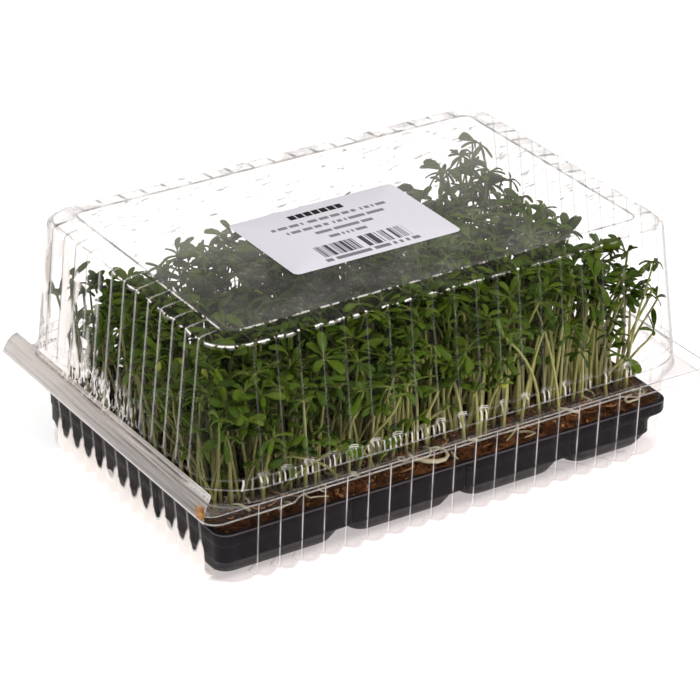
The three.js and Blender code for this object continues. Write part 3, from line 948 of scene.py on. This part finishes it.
def soil_finish(name, color):
    """Fibrous coir: dark red-brown crumbs under paler tan strands, darker towards the left as painted shade.
    """
    f = Finish(name)
    x, y, z = f.xyz
    crumb = f.noise(0.9, 6, 0.7)
    strand = f.noise(0.8, 4, 0.6, at=(x * 0.35 + y * 0.2, y * 2.2, z * 2.0), distortion=0.8)
    lump = f.noise(0.28, 2, 0.5)
    dark = scaled(color, 0.10)
    tone = f.mix((crumb.step(0.38, 0.62) * (0.35 + lump.step(0.4, 0.62))).clamp(), dark, color)
    tone = f.mix(strand.step(0.60, 0.70) * 0.7, tone, (0.52, 0.24, 0.07))
    tone = f.mix(f.noise(0.5, 2, 0.5).step(0.64, 0.70) * 0.8, tone, (0.60, 0.33, 0.12))
    # Painted shade: darker towards the left, away from the light
    tone = f.mix((1 - x.step(-75, 5)) * 0.6, tone, dark)
    return f.close(
        f.principled(
            Base_Color=tone,
            Roughness=0.92,
            Specular_IOR_Level=0.1,
            Normal=f.bump(crumb + f.crumbs(0.7) * 0.6, 0.9, 1.2 * MM),
        )
    )


def soil_layer():
    """The crumbly layer over the rims: a grid squeezed from a square into a rounded one by its
    seventh power norm, with a lumpy top, a flat underside and a skirt between their borders."""
    nx, ny, power = 160, 112, 7.0
    u, v = np.meshgrid(np.linspace(-1, 1, nx), np.linspace(-1, 1, ny))
    square = np.maximum(np.abs(u), np.abs(v))
    reach = np.maximum((np.abs(u) ** power + np.abs(v) ** power) ** (1 / power), 1e-6)
    squeeze = square / reach
    ragged = 1 + 0.006 * ripple(u * 90, v * 60, 5, 0.6)
    x = TRAY_X - 0.4 + u * 77.5 * squeeze * ragged
    y = v * 53.2 * squeeze * ragged - 1.0
    edge = np.clip((1 - square) / 0.03, 0, 1)
    lumps = 0.7 * ripple(x, y, 7, 0.35) + 0.5 * ripple(x, y, 8, 1.1, 14) + 0.3 * ripple(x, y, 9, 2.4, 14)
    top = SOIL_TOP - 0.1 + lumps * 1.7 * edge - (1 - edge) * 1.2
    top = np.maximum(top, TRAY_TOP + 0.15)
    low = np.full_like(x, TRAY_TOP + 0.1)
    index = np.arange(nx * ny).reshape(ny, nx)
    border = np.concatenate([index[0], index[1:, -1], index[-1, -2::-1], index[-2:0:-1, 0]])
    after = np.roll(border, -1)
    skirt = np.stack([border + nx * ny, after + nx * ny, after, border], -1)
    faces = grid_faces(ny, nx, wrap_columns=False)
    points = np.stack([np.stack([x, y, top], -1), np.stack([x, y, low], -1)]).reshape(-1, 3)
    return points, np.concatenate([faces, faces[:, ::-1] + nx * ny, skirt])


def soil_plug(column, row):
    """The plug in one cell, as levels from under its foot to its top."""
    limits, _, top, foot = cell_walls(column, row)
    levels = [
        (foot + 9, 1, TRAY_FLOOR + 1.4),
        (foot + 2.8, 3, TRAY_FLOOR + 1.4),
        (top + 1.1, 4, TRAY_BAND),
        (1.4, 4, TRAY_TOP + 0.12),
        (12, 1, TRAY_TOP + 0.12),
    ]
    return np.stack([lifted(plan_of(limits + INWARD * inset, radius, 4), z) for inset, radius, z in levels])


class CRESS_OT_soil(bpy.types.Operator):
    """Builds the growing medium: a rough plug in each cell under one crumbly layer"""

    bl_idname = "cress.soil"
    bl_label = "Growing medium"

    def execute(self, context):
        finish = soil_finish("growing_medium", context.scene.cress_plants.soil)
        points, faces = soil_layer()
        plugs = np.stack([soil_plug(column, row) for row in range(3) for column in range(4)])
        copies, rows, columns, _ = plugs.shape
        plug_faces = repeat_faces(grid_faces(rows, columns), rows * columns, copies) + len(points)
        points = np.concatenate([points, plugs.reshape(-1, 3)])
        made = closed_object("growing_layer", points, np.concatenate([faces, plug_faces]), finish)
        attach(made, BASE)
        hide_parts("growing_medium")
        fibres = fibre_object("soil_fibres", FIBRES, 21)
        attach(fibres, BASE)
        roots = root_object("white_roots", ROOTS, 31)
        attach(roots, BASE)
        return {"FINISHED"}


def tubes(centres, radii, sides):
    """Closed tubes for many curves at once. centres is copies x stations x 3 and radii copies x
    stations; each ring stands square to the curve on a frame built from a fixed reference."""
    tangent = np.gradient(centres, axis=1)
    tangent /= np.maximum(np.linalg.norm(tangent, axis=-1, keepdims=True), 1e-9)
    reference = np.where(np.abs(tangent[..., 2:3]) > 0.9, [1.0, 0, 0], [0, 0, 1.0])
    side = np.cross(reference, tangent)
    side /= np.maximum(np.linalg.norm(side, axis=-1, keepdims=True), 1e-9)
    up = np.cross(tangent, side)
    a = (np.arange(sides) / sides * 2 * math.pi)[:, None]
    circle = side[:, :, None] * np.cos(a) + up[:, :, None] * np.sin(a)
    return centres[:, :, None] + circle * radii[:, :, None, None]


def tube_faces(stations, sides, copies):
    """Quads of closed tubes; each end is closed by folding its last ring to a short edge."""
    body = grid_faces(stations, sides)
    k = np.arange(sides // 2 - 1)
    start = np.stack([k, sides - 1 - k, sides - 2 - k, k + 1], -1)
    end = start[:, ::-1] + (stations - 1) * sides
    return repeat_faces(np.concatenate([body, start, end]), stations * sides, copies)


def strand_finish(name, power, dark, light, **surface):
    """A plain strand, whose colour runs from dark to light with a power of its own tone."""
    f = Finish(name)
    tone = f.attribute("tone")
    color = f.mix(tone if power == 1 else tone**power, dark, light)
    return f.close(f.principled(Base_Color=color, **surface))


def fibre_object(name, count, seed):
    """Strands lying on the soil: gently curved arcs of random heading, one end lifted a little."""
    stations, sides = 5, 4
    draw = np.random.default_rng(seed)
    x0 = TRAY_X + draw.uniform(-SOIL_X, SOIL_X, count)
    y0 = draw.uniform(-SOIL_Y, SOIL_Y, count)
    heading = draw.uniform(0, 2 * math.pi, count)
    length = draw.uniform(2.5, 9, count)
    bend = draw.uniform(-1.6, 1.6, count)
    t = np.linspace(0, 1, stations)[None]
    angle = heading[:, None] + bend[:, None] * t
    x = x0[:, None] + length[:, None] * t * np.cos(angle)
    y = y0[:, None] + length[:, None] * t * np.sin(angle)
    x = np.clip(x, TRAY_X - SOIL_X - 0.5, TRAY_X + SOIL_X + 0.5)
    y = np.clip(y, -SOIL_Y - 0.5, SOIL_Y + 0.5)
    lift = draw.uniform(0, 1.4, count)[:, None] * t**2
    z = SOIL_TOP - 0.1 + 0.6 * ripple(x, y, 7, 0.35) + lift
    radii = np.repeat(draw.uniform(0.1, 0.34, count)[:, None], stations, 1)
    points = tubes(np.stack([x, y, z], -1), radii, sides)
    tone = np.repeat(draw.uniform(0, 1, count), stations * sides)
    surface = dict(Roughness=0.85, Specular_IOR_Level=0.1)
    finish = strand_finish("coir_strands", 1.6, (0.03, 0.010, 0.003), (0.46, 0.22, 0.08), **surface)
    return make_object(name, points, tube_faces(stations, sides, count), finish, {"tone": tone})


def root_object(name, count, seed):
    """Pale curled roots and fallen stems on the soil along the front: arcs of growing curvature."""
    stations, sides = 10, 6
    draw = np.random.default_rng(seed)
    x0 = TRAY_X + draw.uniform(-72, 72, count)
    y0 = -52 + np.abs(draw.normal(0, 7, count))
    heading = draw.uniform(0, 2 * math.pi, count)
    length = draw.uniform(5, 15, count)
    curl = draw.uniform(-5.5, 5.5, count)
    x0[0], y0[0], heading[0], length[0], curl[0] = -9.5, -42, -1.9, 26, 4.6
    t = np.linspace(0, 1, stations)[None]
    angle = heading[:, None] + curl[:, None] * t**1.4
    step = length[:, None] / (stations - 1)
    x = x0[:, None] + np.cumsum(np.cos(angle) * step, 1)
    y = y0[:, None] + np.cumsum(np.sin(angle) * step, 1)
    y = np.clip(y, -54.0, 50)
    x = np.clip(x, TRAY_X - SOIL_X, TRAY_X + SOIL_X)
    arch = 1.6 * draw.uniform(0, 1, count)[:, None] * np.sin(t * math.pi)
    z = SOIL_TOP + 0.6 + 0.5 * ripple(x, y, 7, 0.35) + arch
    thick = draw.uniform(0.3, 0.62, count)
    thick[0] = 0.85
    points = tubes(np.stack([x, y, z], -1), thick[:, None] * (1 - 0.5 * t), sides)
    tone = np.repeat(draw.uniform(0, 1, count), stations * sides)
    surface = dict(Roughness=0.45, Specular_IOR_Level=0.2)
    finish = strand_finish("pale_roots", 1, (0.30, 0.29, 0.13), (0.66, 0.60, 0.42), **surface)
    return make_object(name, points, tube_faces(stations, sides, count), finish, {"tone": tone})


# Seedlings
LOBE_STATIONS = np.array([0, 0.24, 0.38, 0.55, 0.75, 0.92, 1.0])
LOBE_SIZES = np.array([0.84, 1.0, 0.84])
LOBE_SECTION = np.array([[1, 0], [0.55, 1], [-0.55, 1], [-1, 0], [-0.55, -1], [0.55, -1]], float)
LOBE_CUP = 0.22
WALL_TOP_Z = 76.9
WALL_SLOPE = 4.5
WALL_GAP = 2.2
WALL_SOFT = 4.0
CEILING_Z = 71
CEILING_SOFT = 4.5
SWING = 171.2
CANOPY_Z = 60.5
PEAK = (71, 41)
PEAK_RISE = 11
PEAK_SPREAD = 90


def wall_reach(z):
    """How far from the box's middle the lid's walls stand at height z, along X and along Y."""
    share = np.clip((z - LID_FOOT_Z) / (WALL_TOP_Z - LID_FOOT_Z), 0, 1)
    return LID_FOOT_X - WALL_SLOPE * share, LID_FOOT_Y - WALL_SLOPE * share


def held_in(points):
    """Eases points inside the walls: past a limit, distance grows as a tanh that levels off at the
    wall. On the right the limit is also the path that the lid's wall swings along."""
    x = points[..., 0] - BOX_X
    y = points[..., 1]
    z = points[..., 2]
    wall_x, wall_y = wall_reach(z)
    rise = np.maximum(z - LID_FLANGE_Z, 0)
    swing = np.sqrt(np.maximum(SWING**2 - rise**2, 1)) + HINGE_X

    def ease(value, limit):
        start = limit - WALL_GAP - WALL_SOFT
        size = np.abs(value)
        over = np.maximum(size - start, 0)
        held = np.minimum(size, start) + WALL_SOFT * np.tanh(over / WALL_SOFT)
        return np.sign(value) * held

    x = BOX_X + np.where(x > 0, ease(x, np.minimum(wall_x, swing)), ease(x, wall_x))
    eased = CEILING_Z + CEILING_SOFT * np.tanh((z - CEILING_Z) / CEILING_SOFT)
    z = np.where(z > CEILING_Z, eased, z)
    return np.stack([x, ease(y, wall_y), z], -1)


def canopy(x, y):
    """Height of the leaves over a point: a gentle swell, lower at the back, with one peak at the
    back right."""
    swell = 3.0 * ripple(x, y, 41, 0.045) + 2.5 * ripple(x, y, 42, 0.12)
    peak = PEAK_RISE * np.exp(-((x - PEAK[0]) ** 2 + (y - PEAK[1]) ** 2) / PEAK_SPREAD)
    return CANOPY_Z + swell + 2.5 * x / 75 - 6.0 * np.clip(y / 50, 0, 1) + peak


def stem_points(draw, cell, count, stem_width):
    """The stems of one cell: each is a swept curve that leans and sways as its height grows. Gives
    their points, their tips and how low each one is."""
    cx, cy = cell_centres()[cell]
    side = int(math.ceil(math.sqrt(count)))
    stops = (np.arange(side) + 0.5) / side - 0.5
    gx, gy = np.meshgrid(stops, stops)
    pick = draw.permutation(side * side)[:count]
    x0 = cx + gx.ravel()[pick] * (PITCH_X - 3) + draw.normal(0, 1.3, count)
    y0 = cy + gy.ravel()[pick] * (PITCH_Y - 3) + draw.normal(0, 1.3, count)
    x0 = np.clip(x0, cx - PITCH_X / 2 + 1.5, cx + PITCH_X / 2 - 1.5)
    y0 = np.clip(y0, cy - PITCH_Y / 2 + 1.5, cy + PITCH_Y / 2 - 1.5)
    bare = 9.5 * draw.uniform(0.15, 1, count)
    y0 = np.where(y0 < -51 + bare, -51 + bare + draw.uniform(0, 6, count), y0)
    x0 = np.where(x0 > 74 - bare * 0.7, 74 - bare * 0.7 - draw.uniform(0, 5, count), x0)
    low = draw.uniform(0, 1, count) ** 2.0
    top = canopy(x0, y0) - 4 + draw.normal(0, 2.5, count) - low * 24
    lean = draw.uniform(0, 2 * math.pi, count)
    reach = draw.gamma(2.2, 2.6, count)
    outward_y = np.clip((np.abs(y0) - 36) / 16, 0, 1) * np.sign(y0) * 3.5
    outward_left = 4.5 * np.clip(y0 / 35, 0, 1) - 2.0
    outward_x = np.clip((np.abs(x0) - 58) / 16, 0, 1) * np.where(x0 > 0, 7.0, outward_left)
    t = np.linspace(0, 1, 8)[None]
    bow = t**1.8
    sway = draw.normal(0, 1.1, count)[:, None] * np.sin(t * math.pi * 1.5) * t
    x = x0[:, None] + (np.cos(lean) * reach + outward_x)[:, None] * bow + sway * np.sin(lean)[:, None]
    y = y0[:, None] + (np.sin(lean) * reach + outward_y)[:, None] * bow - sway * np.cos(lean)[:, None]
    z = SOIL_TOP - 0.8 + (top[:, None] - SOIL_TOP + 0.8) * t
    stems = held_in(np.stack([x, y, z], -1))
    width = stem_width / 2 * draw.uniform(0.75, 1.2, count)
    return tubes(stems, width[:, None] * (1 - 0.35 * t), 6), stems[:, -1], low


def leaf_points(draw, tip, low, leaf_length):
    """The leaves on stems with these tips, as seedling, leaf, lobe, station, section point. Each of
    the two seed leaves has three lobes; a lobe is a flat tube, narrow along its stalk and oval
    beyond, that rises from the stem and droops towards its tip. The three lobes of a leaf share a
    heading along the stalk and turn apart beyond it, by spread times a ramp of the length."""
    count = len(tip)
    leaf, lobe = (count, 2), (count, 2, 3)
    s = LOBE_STATIONS
    heading = draw.uniform(0, 2 * math.pi, count)[:, None] + np.array([0, math.pi])[None]
    heading = heading + draw.normal(0, 0.3, leaf)
    rise = draw.normal(0.55, 0.42, leaf)
    size = leaf_length * draw.uniform(0.7, 1.2, leaf) * (0.8 + 0.2 * (1 - low[:, None]))
    spread = np.array([-1.0, 0.0, 1.0]) + draw.normal(0, 0.28, lobe)
    climb = rise[..., None] + draw.normal(0, 0.16, lobe) - 0.12 * np.abs(spread)
    length = size[..., None] * LOBE_SIZES * draw.uniform(0.85, 1.15, lobe)
    droop = draw.uniform(0.2, 1.5, lobe)
    angle = climb[..., None] - droop[..., None] * s**1.3
    bend = draw.normal(0, 0.35, lobe)[..., None]
    turn = heading[..., None, None] + spread[..., None] * np.clip((s - 0.1) / 0.3, 0, 1) + bend * s
    fx = np.cos(turn)
    fy = np.sin(turn)
    tangent = np.stack([np.cos(angle) * fx, np.cos(angle) * fy, np.sin(angle)], -1)
    step = tangent * (length[..., None] * np.diff(s, prepend=0))[..., None]
    centre = np.cumsum(step, -2) + tip[:, None, None, None]
    oval = np.clip((s - 0.30) / 0.70, 0, 1)
    blade = np.sqrt(np.clip(1 - (2 * oval - 1) ** 2, 0, 1)) * (0.84 + 0.25 * oval)
    half_width = (0.04 + 0.135 * blade) * length[..., None] * draw.uniform(0.7, 1.15, lobe)[..., None]
    thick = np.where(s < 0.3, 0.30, 0.24)
    tilt = draw.normal(0, 0.5, lobe)[..., None, None]
    flat = np.stack([-fy, fx, 0 * fx], -1)
    over = np.cross(tangent, flat)
    over /= np.maximum(np.linalg.norm(over, axis=-1, keepdims=True), 1e-9)
    across = flat * np.cos(tilt) + over * np.sin(tilt)
    above = over * np.cos(tilt) - flat * np.sin(tilt)
    u, v = LOBE_SECTION.T
    wide = half_width[..., None] * u
    tall = thick[:, None] * v + LOBE_CUP * half_width[..., None] * u**2
    offset = across[..., None, :] * wide[..., None] + above[..., None, :] * tall[..., None]
    return held_in(centre[..., None, :] + offset)


def leaf_finish(name, dark, light):
    """Seed leaves: satin green from dark to yellow-green by leaf, paler along the stalk, with a few
    yellow ones."""
    f = Finish(name)
    tone = f.attribute("tone")
    stalk = 1 - f.attribute("along").step(0.15, 0.42)
    mottle = f.noise(0.5, 3, 0.6)
    color = f.mix((tone * 0.75 + mottle * 0.4 - 0.1).clamp(), dark, light)
    color = f.mix(stalk * 0.7, color, (0.17, 0.20, 0.045))
    color = f.mix((tone > 0.965) * 0.7, color, (0.42, 0.45, 0.05))
    return f.close(
        f.principled(
            Base_Color=color,
            Roughness=0.35 + mottle * 0.20,
            Specular_IOR_Level=0.14,
            Normal=f.bump(mottle, 0.25, 0.3 * MM),
        )
    )


def stem_finish(name, color):
    """Stems: pale whitish green low down, greener towards the leaves, and darker towards the left as painted
    shade.
    """
    f = Finish(name)
    x, _, z = f.xyz
    deep = (color[0] * 0.38, color[1] * 0.52, color[2] * 0.22)
    green = (z.step(30, 62) * 0.8 + f.attribute("tone") * 0.3 - 0.1).clamp()
    base = f.mix(green, scaled(color, 1.25), deep)
    # Painted shade: darker towards the left, away from the light
    base = f.mix((1 - x.step(-75, 0)) * 0.55, base, scaled(deep, 0.35))
    return f.close(f.principled(Base_Color=base, Roughness=0.4, Specular_IOR_Level=0.2))


class CRESS_OT_seedlings(bpy.types.Operator):
    """Builds the seedlings of every cell, one bunch for each"""

    bl_idname = "cress.seedlings"
    bl_label = "Seedlings"

    def execute(self, context):
        plants = context.scene.cress_plants
        leaf = leaf_finish("seed_leaves", plants.leaf_dark, plants.leaf_light)
        stem = stem_finish("pale_stems", plants.stem)
        count = plants.per_cell
        for cell, node in enumerate(CRESS_NODES):
            draw = np.random.default_rng(500 + cell)
            stems, tips, low = stem_points(draw, cell, count, plants.stem_width / MM)
            leaves = leaf_points(draw, tips, low, plants.leaf_length / MM)
            _, stations, sides, _ = stems.shape
            rows, columns, _ = leaves.shape[3:]
            lobes = count * 2 * 3
            draw = np.random.default_rng(900 + cell)
            tones = draw.uniform(0, 1, count)
            leaf_tone = draw.uniform(0, 1, (count, 2, 3)) * 0.5 + tones[:, None, None] * 0.5
            faces = tube_faces(stations, sides, count)
            marks = {"tone": np.repeat(tones, stations * sides)}
            stalks = make_object(f"{node}_stems", stems, faces, stem, marks)
            faces = tube_faces(rows, columns, lobes)
            along = np.broadcast_to(LOBE_STATIONS[None, :, None], (lobes, rows, columns))
            marks = {"tone": np.repeat(leaf_tone.ravel(), rows * columns), "along": along}
            blades = make_object(f"{node}_leaves", leaves, faces, leaf, marks)
            for piece in (stalks, blades):
                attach(piece, BASE)
            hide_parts(node)
        return {"FINISHED"}


# Label
LABEL_LOW = (-38.5, -26.5)
DASH_ROWS = (
    (28.6, 10, 50, 11),
    (24.6, 13, 47, 23),
    (20.6, 20, 41, 37),
    (16.6, 23, 36, 51),
)


def label_finish(name):
    """Plain paper with a heavy ruled title, ruled rows and a band of random upright bars."""
    f = Finish(name)
    u = f.xyz[0] - LABEL_LOW[0]
    v = f.xyz[1] - LABEL_LOW[1]

    def dashes(row, height, start, end, seed, cell):
        """A row broken into word-like dashes."""
        dash = f.random_at(((u + seed) / cell).floor()) > 0.2
        return v.between(row, row + height) * u.between(start, end) * dash

    block = ((u - 18.6) / 2.75).fract()
    ink = v.between(33.1, 36.0) * u.between(18.6, 37.7) * (block > 0.14)
    for row, start, end, seed in DASH_ROWS:
        ink = ink + dashes(row, 1.7, start, end, seed, 0.8) * 0.7
    bars = f.random_at((u / 0.33).floor() + 171.0) > 0.48
    ink = ink + bars * u.between(14.5, 45.0) * v.between(5.6, 13.2) * 0.92
    ink = ink + dashes(2.6, 1.9, 13.5, 46, 71, 1.1) * 0.75
    paper = f.mix(f.noise(1.3, 4, 0.6), (0.72, 0.69, 0.74), (0.77, 0.74, 0.79))
    color = f.mix(ink.clamp(), paper, (0.012, 0.012, 0.015))
    return f.close(f.principled(Base_Color=color, Roughness=0.6, Specular_IOR_Level=0.15))


class CRESS_OT_label(bpy.types.Operator):
    """Builds the plain paper label on the lid's panel"""

    bl_idname = "cress.label"
    bl_label = "Paper label"

    def execute(self, context):
        low, high = (np.array(corner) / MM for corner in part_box("paper_label"))
        centre = (low + high) / 2
        half = (high - low) / 2
        rows = []
        for inset, lift in ((20, 0), (0.15, 0), (0, 0.05), (0, 0.12), (0.1, 0.16), (20, 0.16)):
            plan = rounded(max(half[0] - inset, 2.2), max(half[1] - inset, 2.2), 2.0, 10)
            rows.append(lifted(plan + centre[:2], low[2] + lift))
        grid = np.stack(rows)
        faces = grid_faces(*grid.shape[:2])
        made = closed_object("plain_label", grid, faces, label_finish("label_paper"), smooth=False)
        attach(made, LID)
        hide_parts("paper_label")
        return {"FINISHED"}


# Stage, with the camera's angles in radians, its distance in millimetres and its shift in pixels
CAMERA_AZ = 0.5538
CAMERA_EL = 0.4744
CAMERA_ROLL = -0.003
CAMERA_D = 1067.8
CAMERA_U = 5.473
CAMERA_V = -92.713
FOCAL_PX = 3424.07
SENSOR = 36.0
IMAGE = 700.0
FLOOR_REACH = 3000
FLOOR_Z = -0.3
LAMPS = (
    ("key", (0.2, -0.75, 1.1), 0.45, 10.0),
    ("fill", (0.9, -0.5, 0.7), 0.9, 3.0),
    ("rim", (-0.6, 0.8, 1.2), 0.6, 5.5),
)


def floor_finish(name):
    """A matt white floor that glows a little, so that it stays as pale as the background."""
    f = Finish(name)
    color = f.mix(f.noise(0.02, 2), (0.93, 0.93, 0.93), (0.95, 0.95, 0.95))
    return f.close(
        f.principled(
            Base_Color=color,
            Roughness=0.9,
            Specular_IOR_Level=0.1,
            Emission_Color=(1.0, 1.0, 1.0),
            Emission_Strength=0.56,
        )
    )


class CRESS_OT_stage(bpy.types.Operator):
    """Sets the floor, the soft studio lights and the camera"""

    bl_idname = "cress.stage"
    bl_label = "Stage"

    def execute(self, context):
        scene = context.scene
        az, el = CAMERA_AZ, CAMERA_EL
        back = Vector((-math.sin(az) * math.cos(el), -math.cos(az) * math.cos(el), math.sin(el)))
        right = Vector((math.cos(az), -math.sin(az), 0))
        up = back.cross(right)
        turned_right = right * math.cos(CAMERA_ROLL) + up * math.sin(CAMERA_ROLL)
        turned_up = up * math.cos(CAMERA_ROLL) - right * math.sin(CAMERA_ROLL)
        scale = CAMERA_D / FOCAL_PX
        place = back * CAMERA_D - turned_right * (CAMERA_U * scale) - turned_up * (CAMERA_V * scale)
        place += Vector((BOX_X, 0, 0))
        data = bpy.data.cameras.new("camera")
        data.lens = FOCAL_PX / IMAGE * SENSOR
        data.sensor_width = SENSOR
        data.clip_start = 0.05
        data.clip_end = 20
        camera = bpy.data.objects.new("camera", data)
        turn = Matrix((turned_right, turned_up, back)).transposed().to_4x4()
        camera.matrix_world = Matrix.Translation(place * MM) @ turn
        scene.collection.objects.link(camera)
        scene.camera = camera
        corners = np.array([[-1, -1, 0], [1, -1, 0], [1, 1, 0], [-1, 1, 0]]) * FLOOR_REACH
        corners = corners + np.array([0, 0, FLOOR_Z])
        floor = make_object("floor", corners, [[0, 1, 2, 3]], floor_finish("pale_floor"), smooth=False)
        for name, lamp_place, size, power in LAMPS:
            data = bpy.data.lights.new(name, "AREA")
            data.size = size
            data.energy = power
            lamp = bpy.data.objects.new(name, data)
            lamp.location = lamp_place
            aim = Vector((0, 0, 0.04)) - Vector(lamp_place)
            lamp.rotation_euler = aim.to_track_quat("-Z", "Y").to_euler()
            scene.collection.objects.link(lamp)
        scene.world = bpy.data.worlds.new("world")
        scene.world.use_nodes = True
        background = scene.world.node_tree.nodes["Background"].inputs
        background["Color"].default_value = (1, 1, 1, 1)
        background["Strength"].default_value = 0.3
        scene.view_settings.view_transform = "Standard"
        scene.cycles.transparent_max_bounces = 40
        return {"FINISHED"}


class CRESS_PT_panel(bpy.types.Panel):
    """The sizes, the colours and the pieces"""

    bl_idname = "CRESS_PT_panel"
    bl_label = "Garden cress box"
    bl_space_type = "VIEW_3D"
    bl_region_type = "UI"
    bl_category = "Cress"

    def draw(self, context):
        for group in (context.scene.cress_box, context.scene.cress_plants):
            for key in group.__annotations__:
                self.layout.prop(group, key)
        for operator in OPERATORS:
            self.layout.operator(operator.bl_idname)


OPERATORS = (
    CRESS_OT_box_base,
    CRESS_OT_box_lid,
    CRESS_OT_fold_band,
    CRESS_OT_tray,
    CRESS_OT_soil,
    CRESS_OT_seedlings,
    CRESS_OT_label,
    CRESS_OT_stage,
)
CLASSES = (CRESS_PG_box, CRESS_PG_plants, *OPERATORS, CRESS_PT_panel)


def register():
    for cls in CLASSES:
        bpy.utils.register_class(cls)
    bpy.types.Scene.cress_box = PointerProperty(type=CRESS_PG_box)
    bpy.types.Scene.cress_plants = PointerProperty(type=CRESS_PG_plants)


def unregister():
    del bpy.types.Scene.cress_box
    del bpy.types.Scene.cress_plants
    for cls in reversed(CLASSES):
        bpy.utils.unregister_class(cls)


def main():
    register()
    for operator in OPERATORS:
        getattr(bpy.ops.cress, operator.bl_idname.split(".")[1])()


if __name__ == "__main__":
    main()
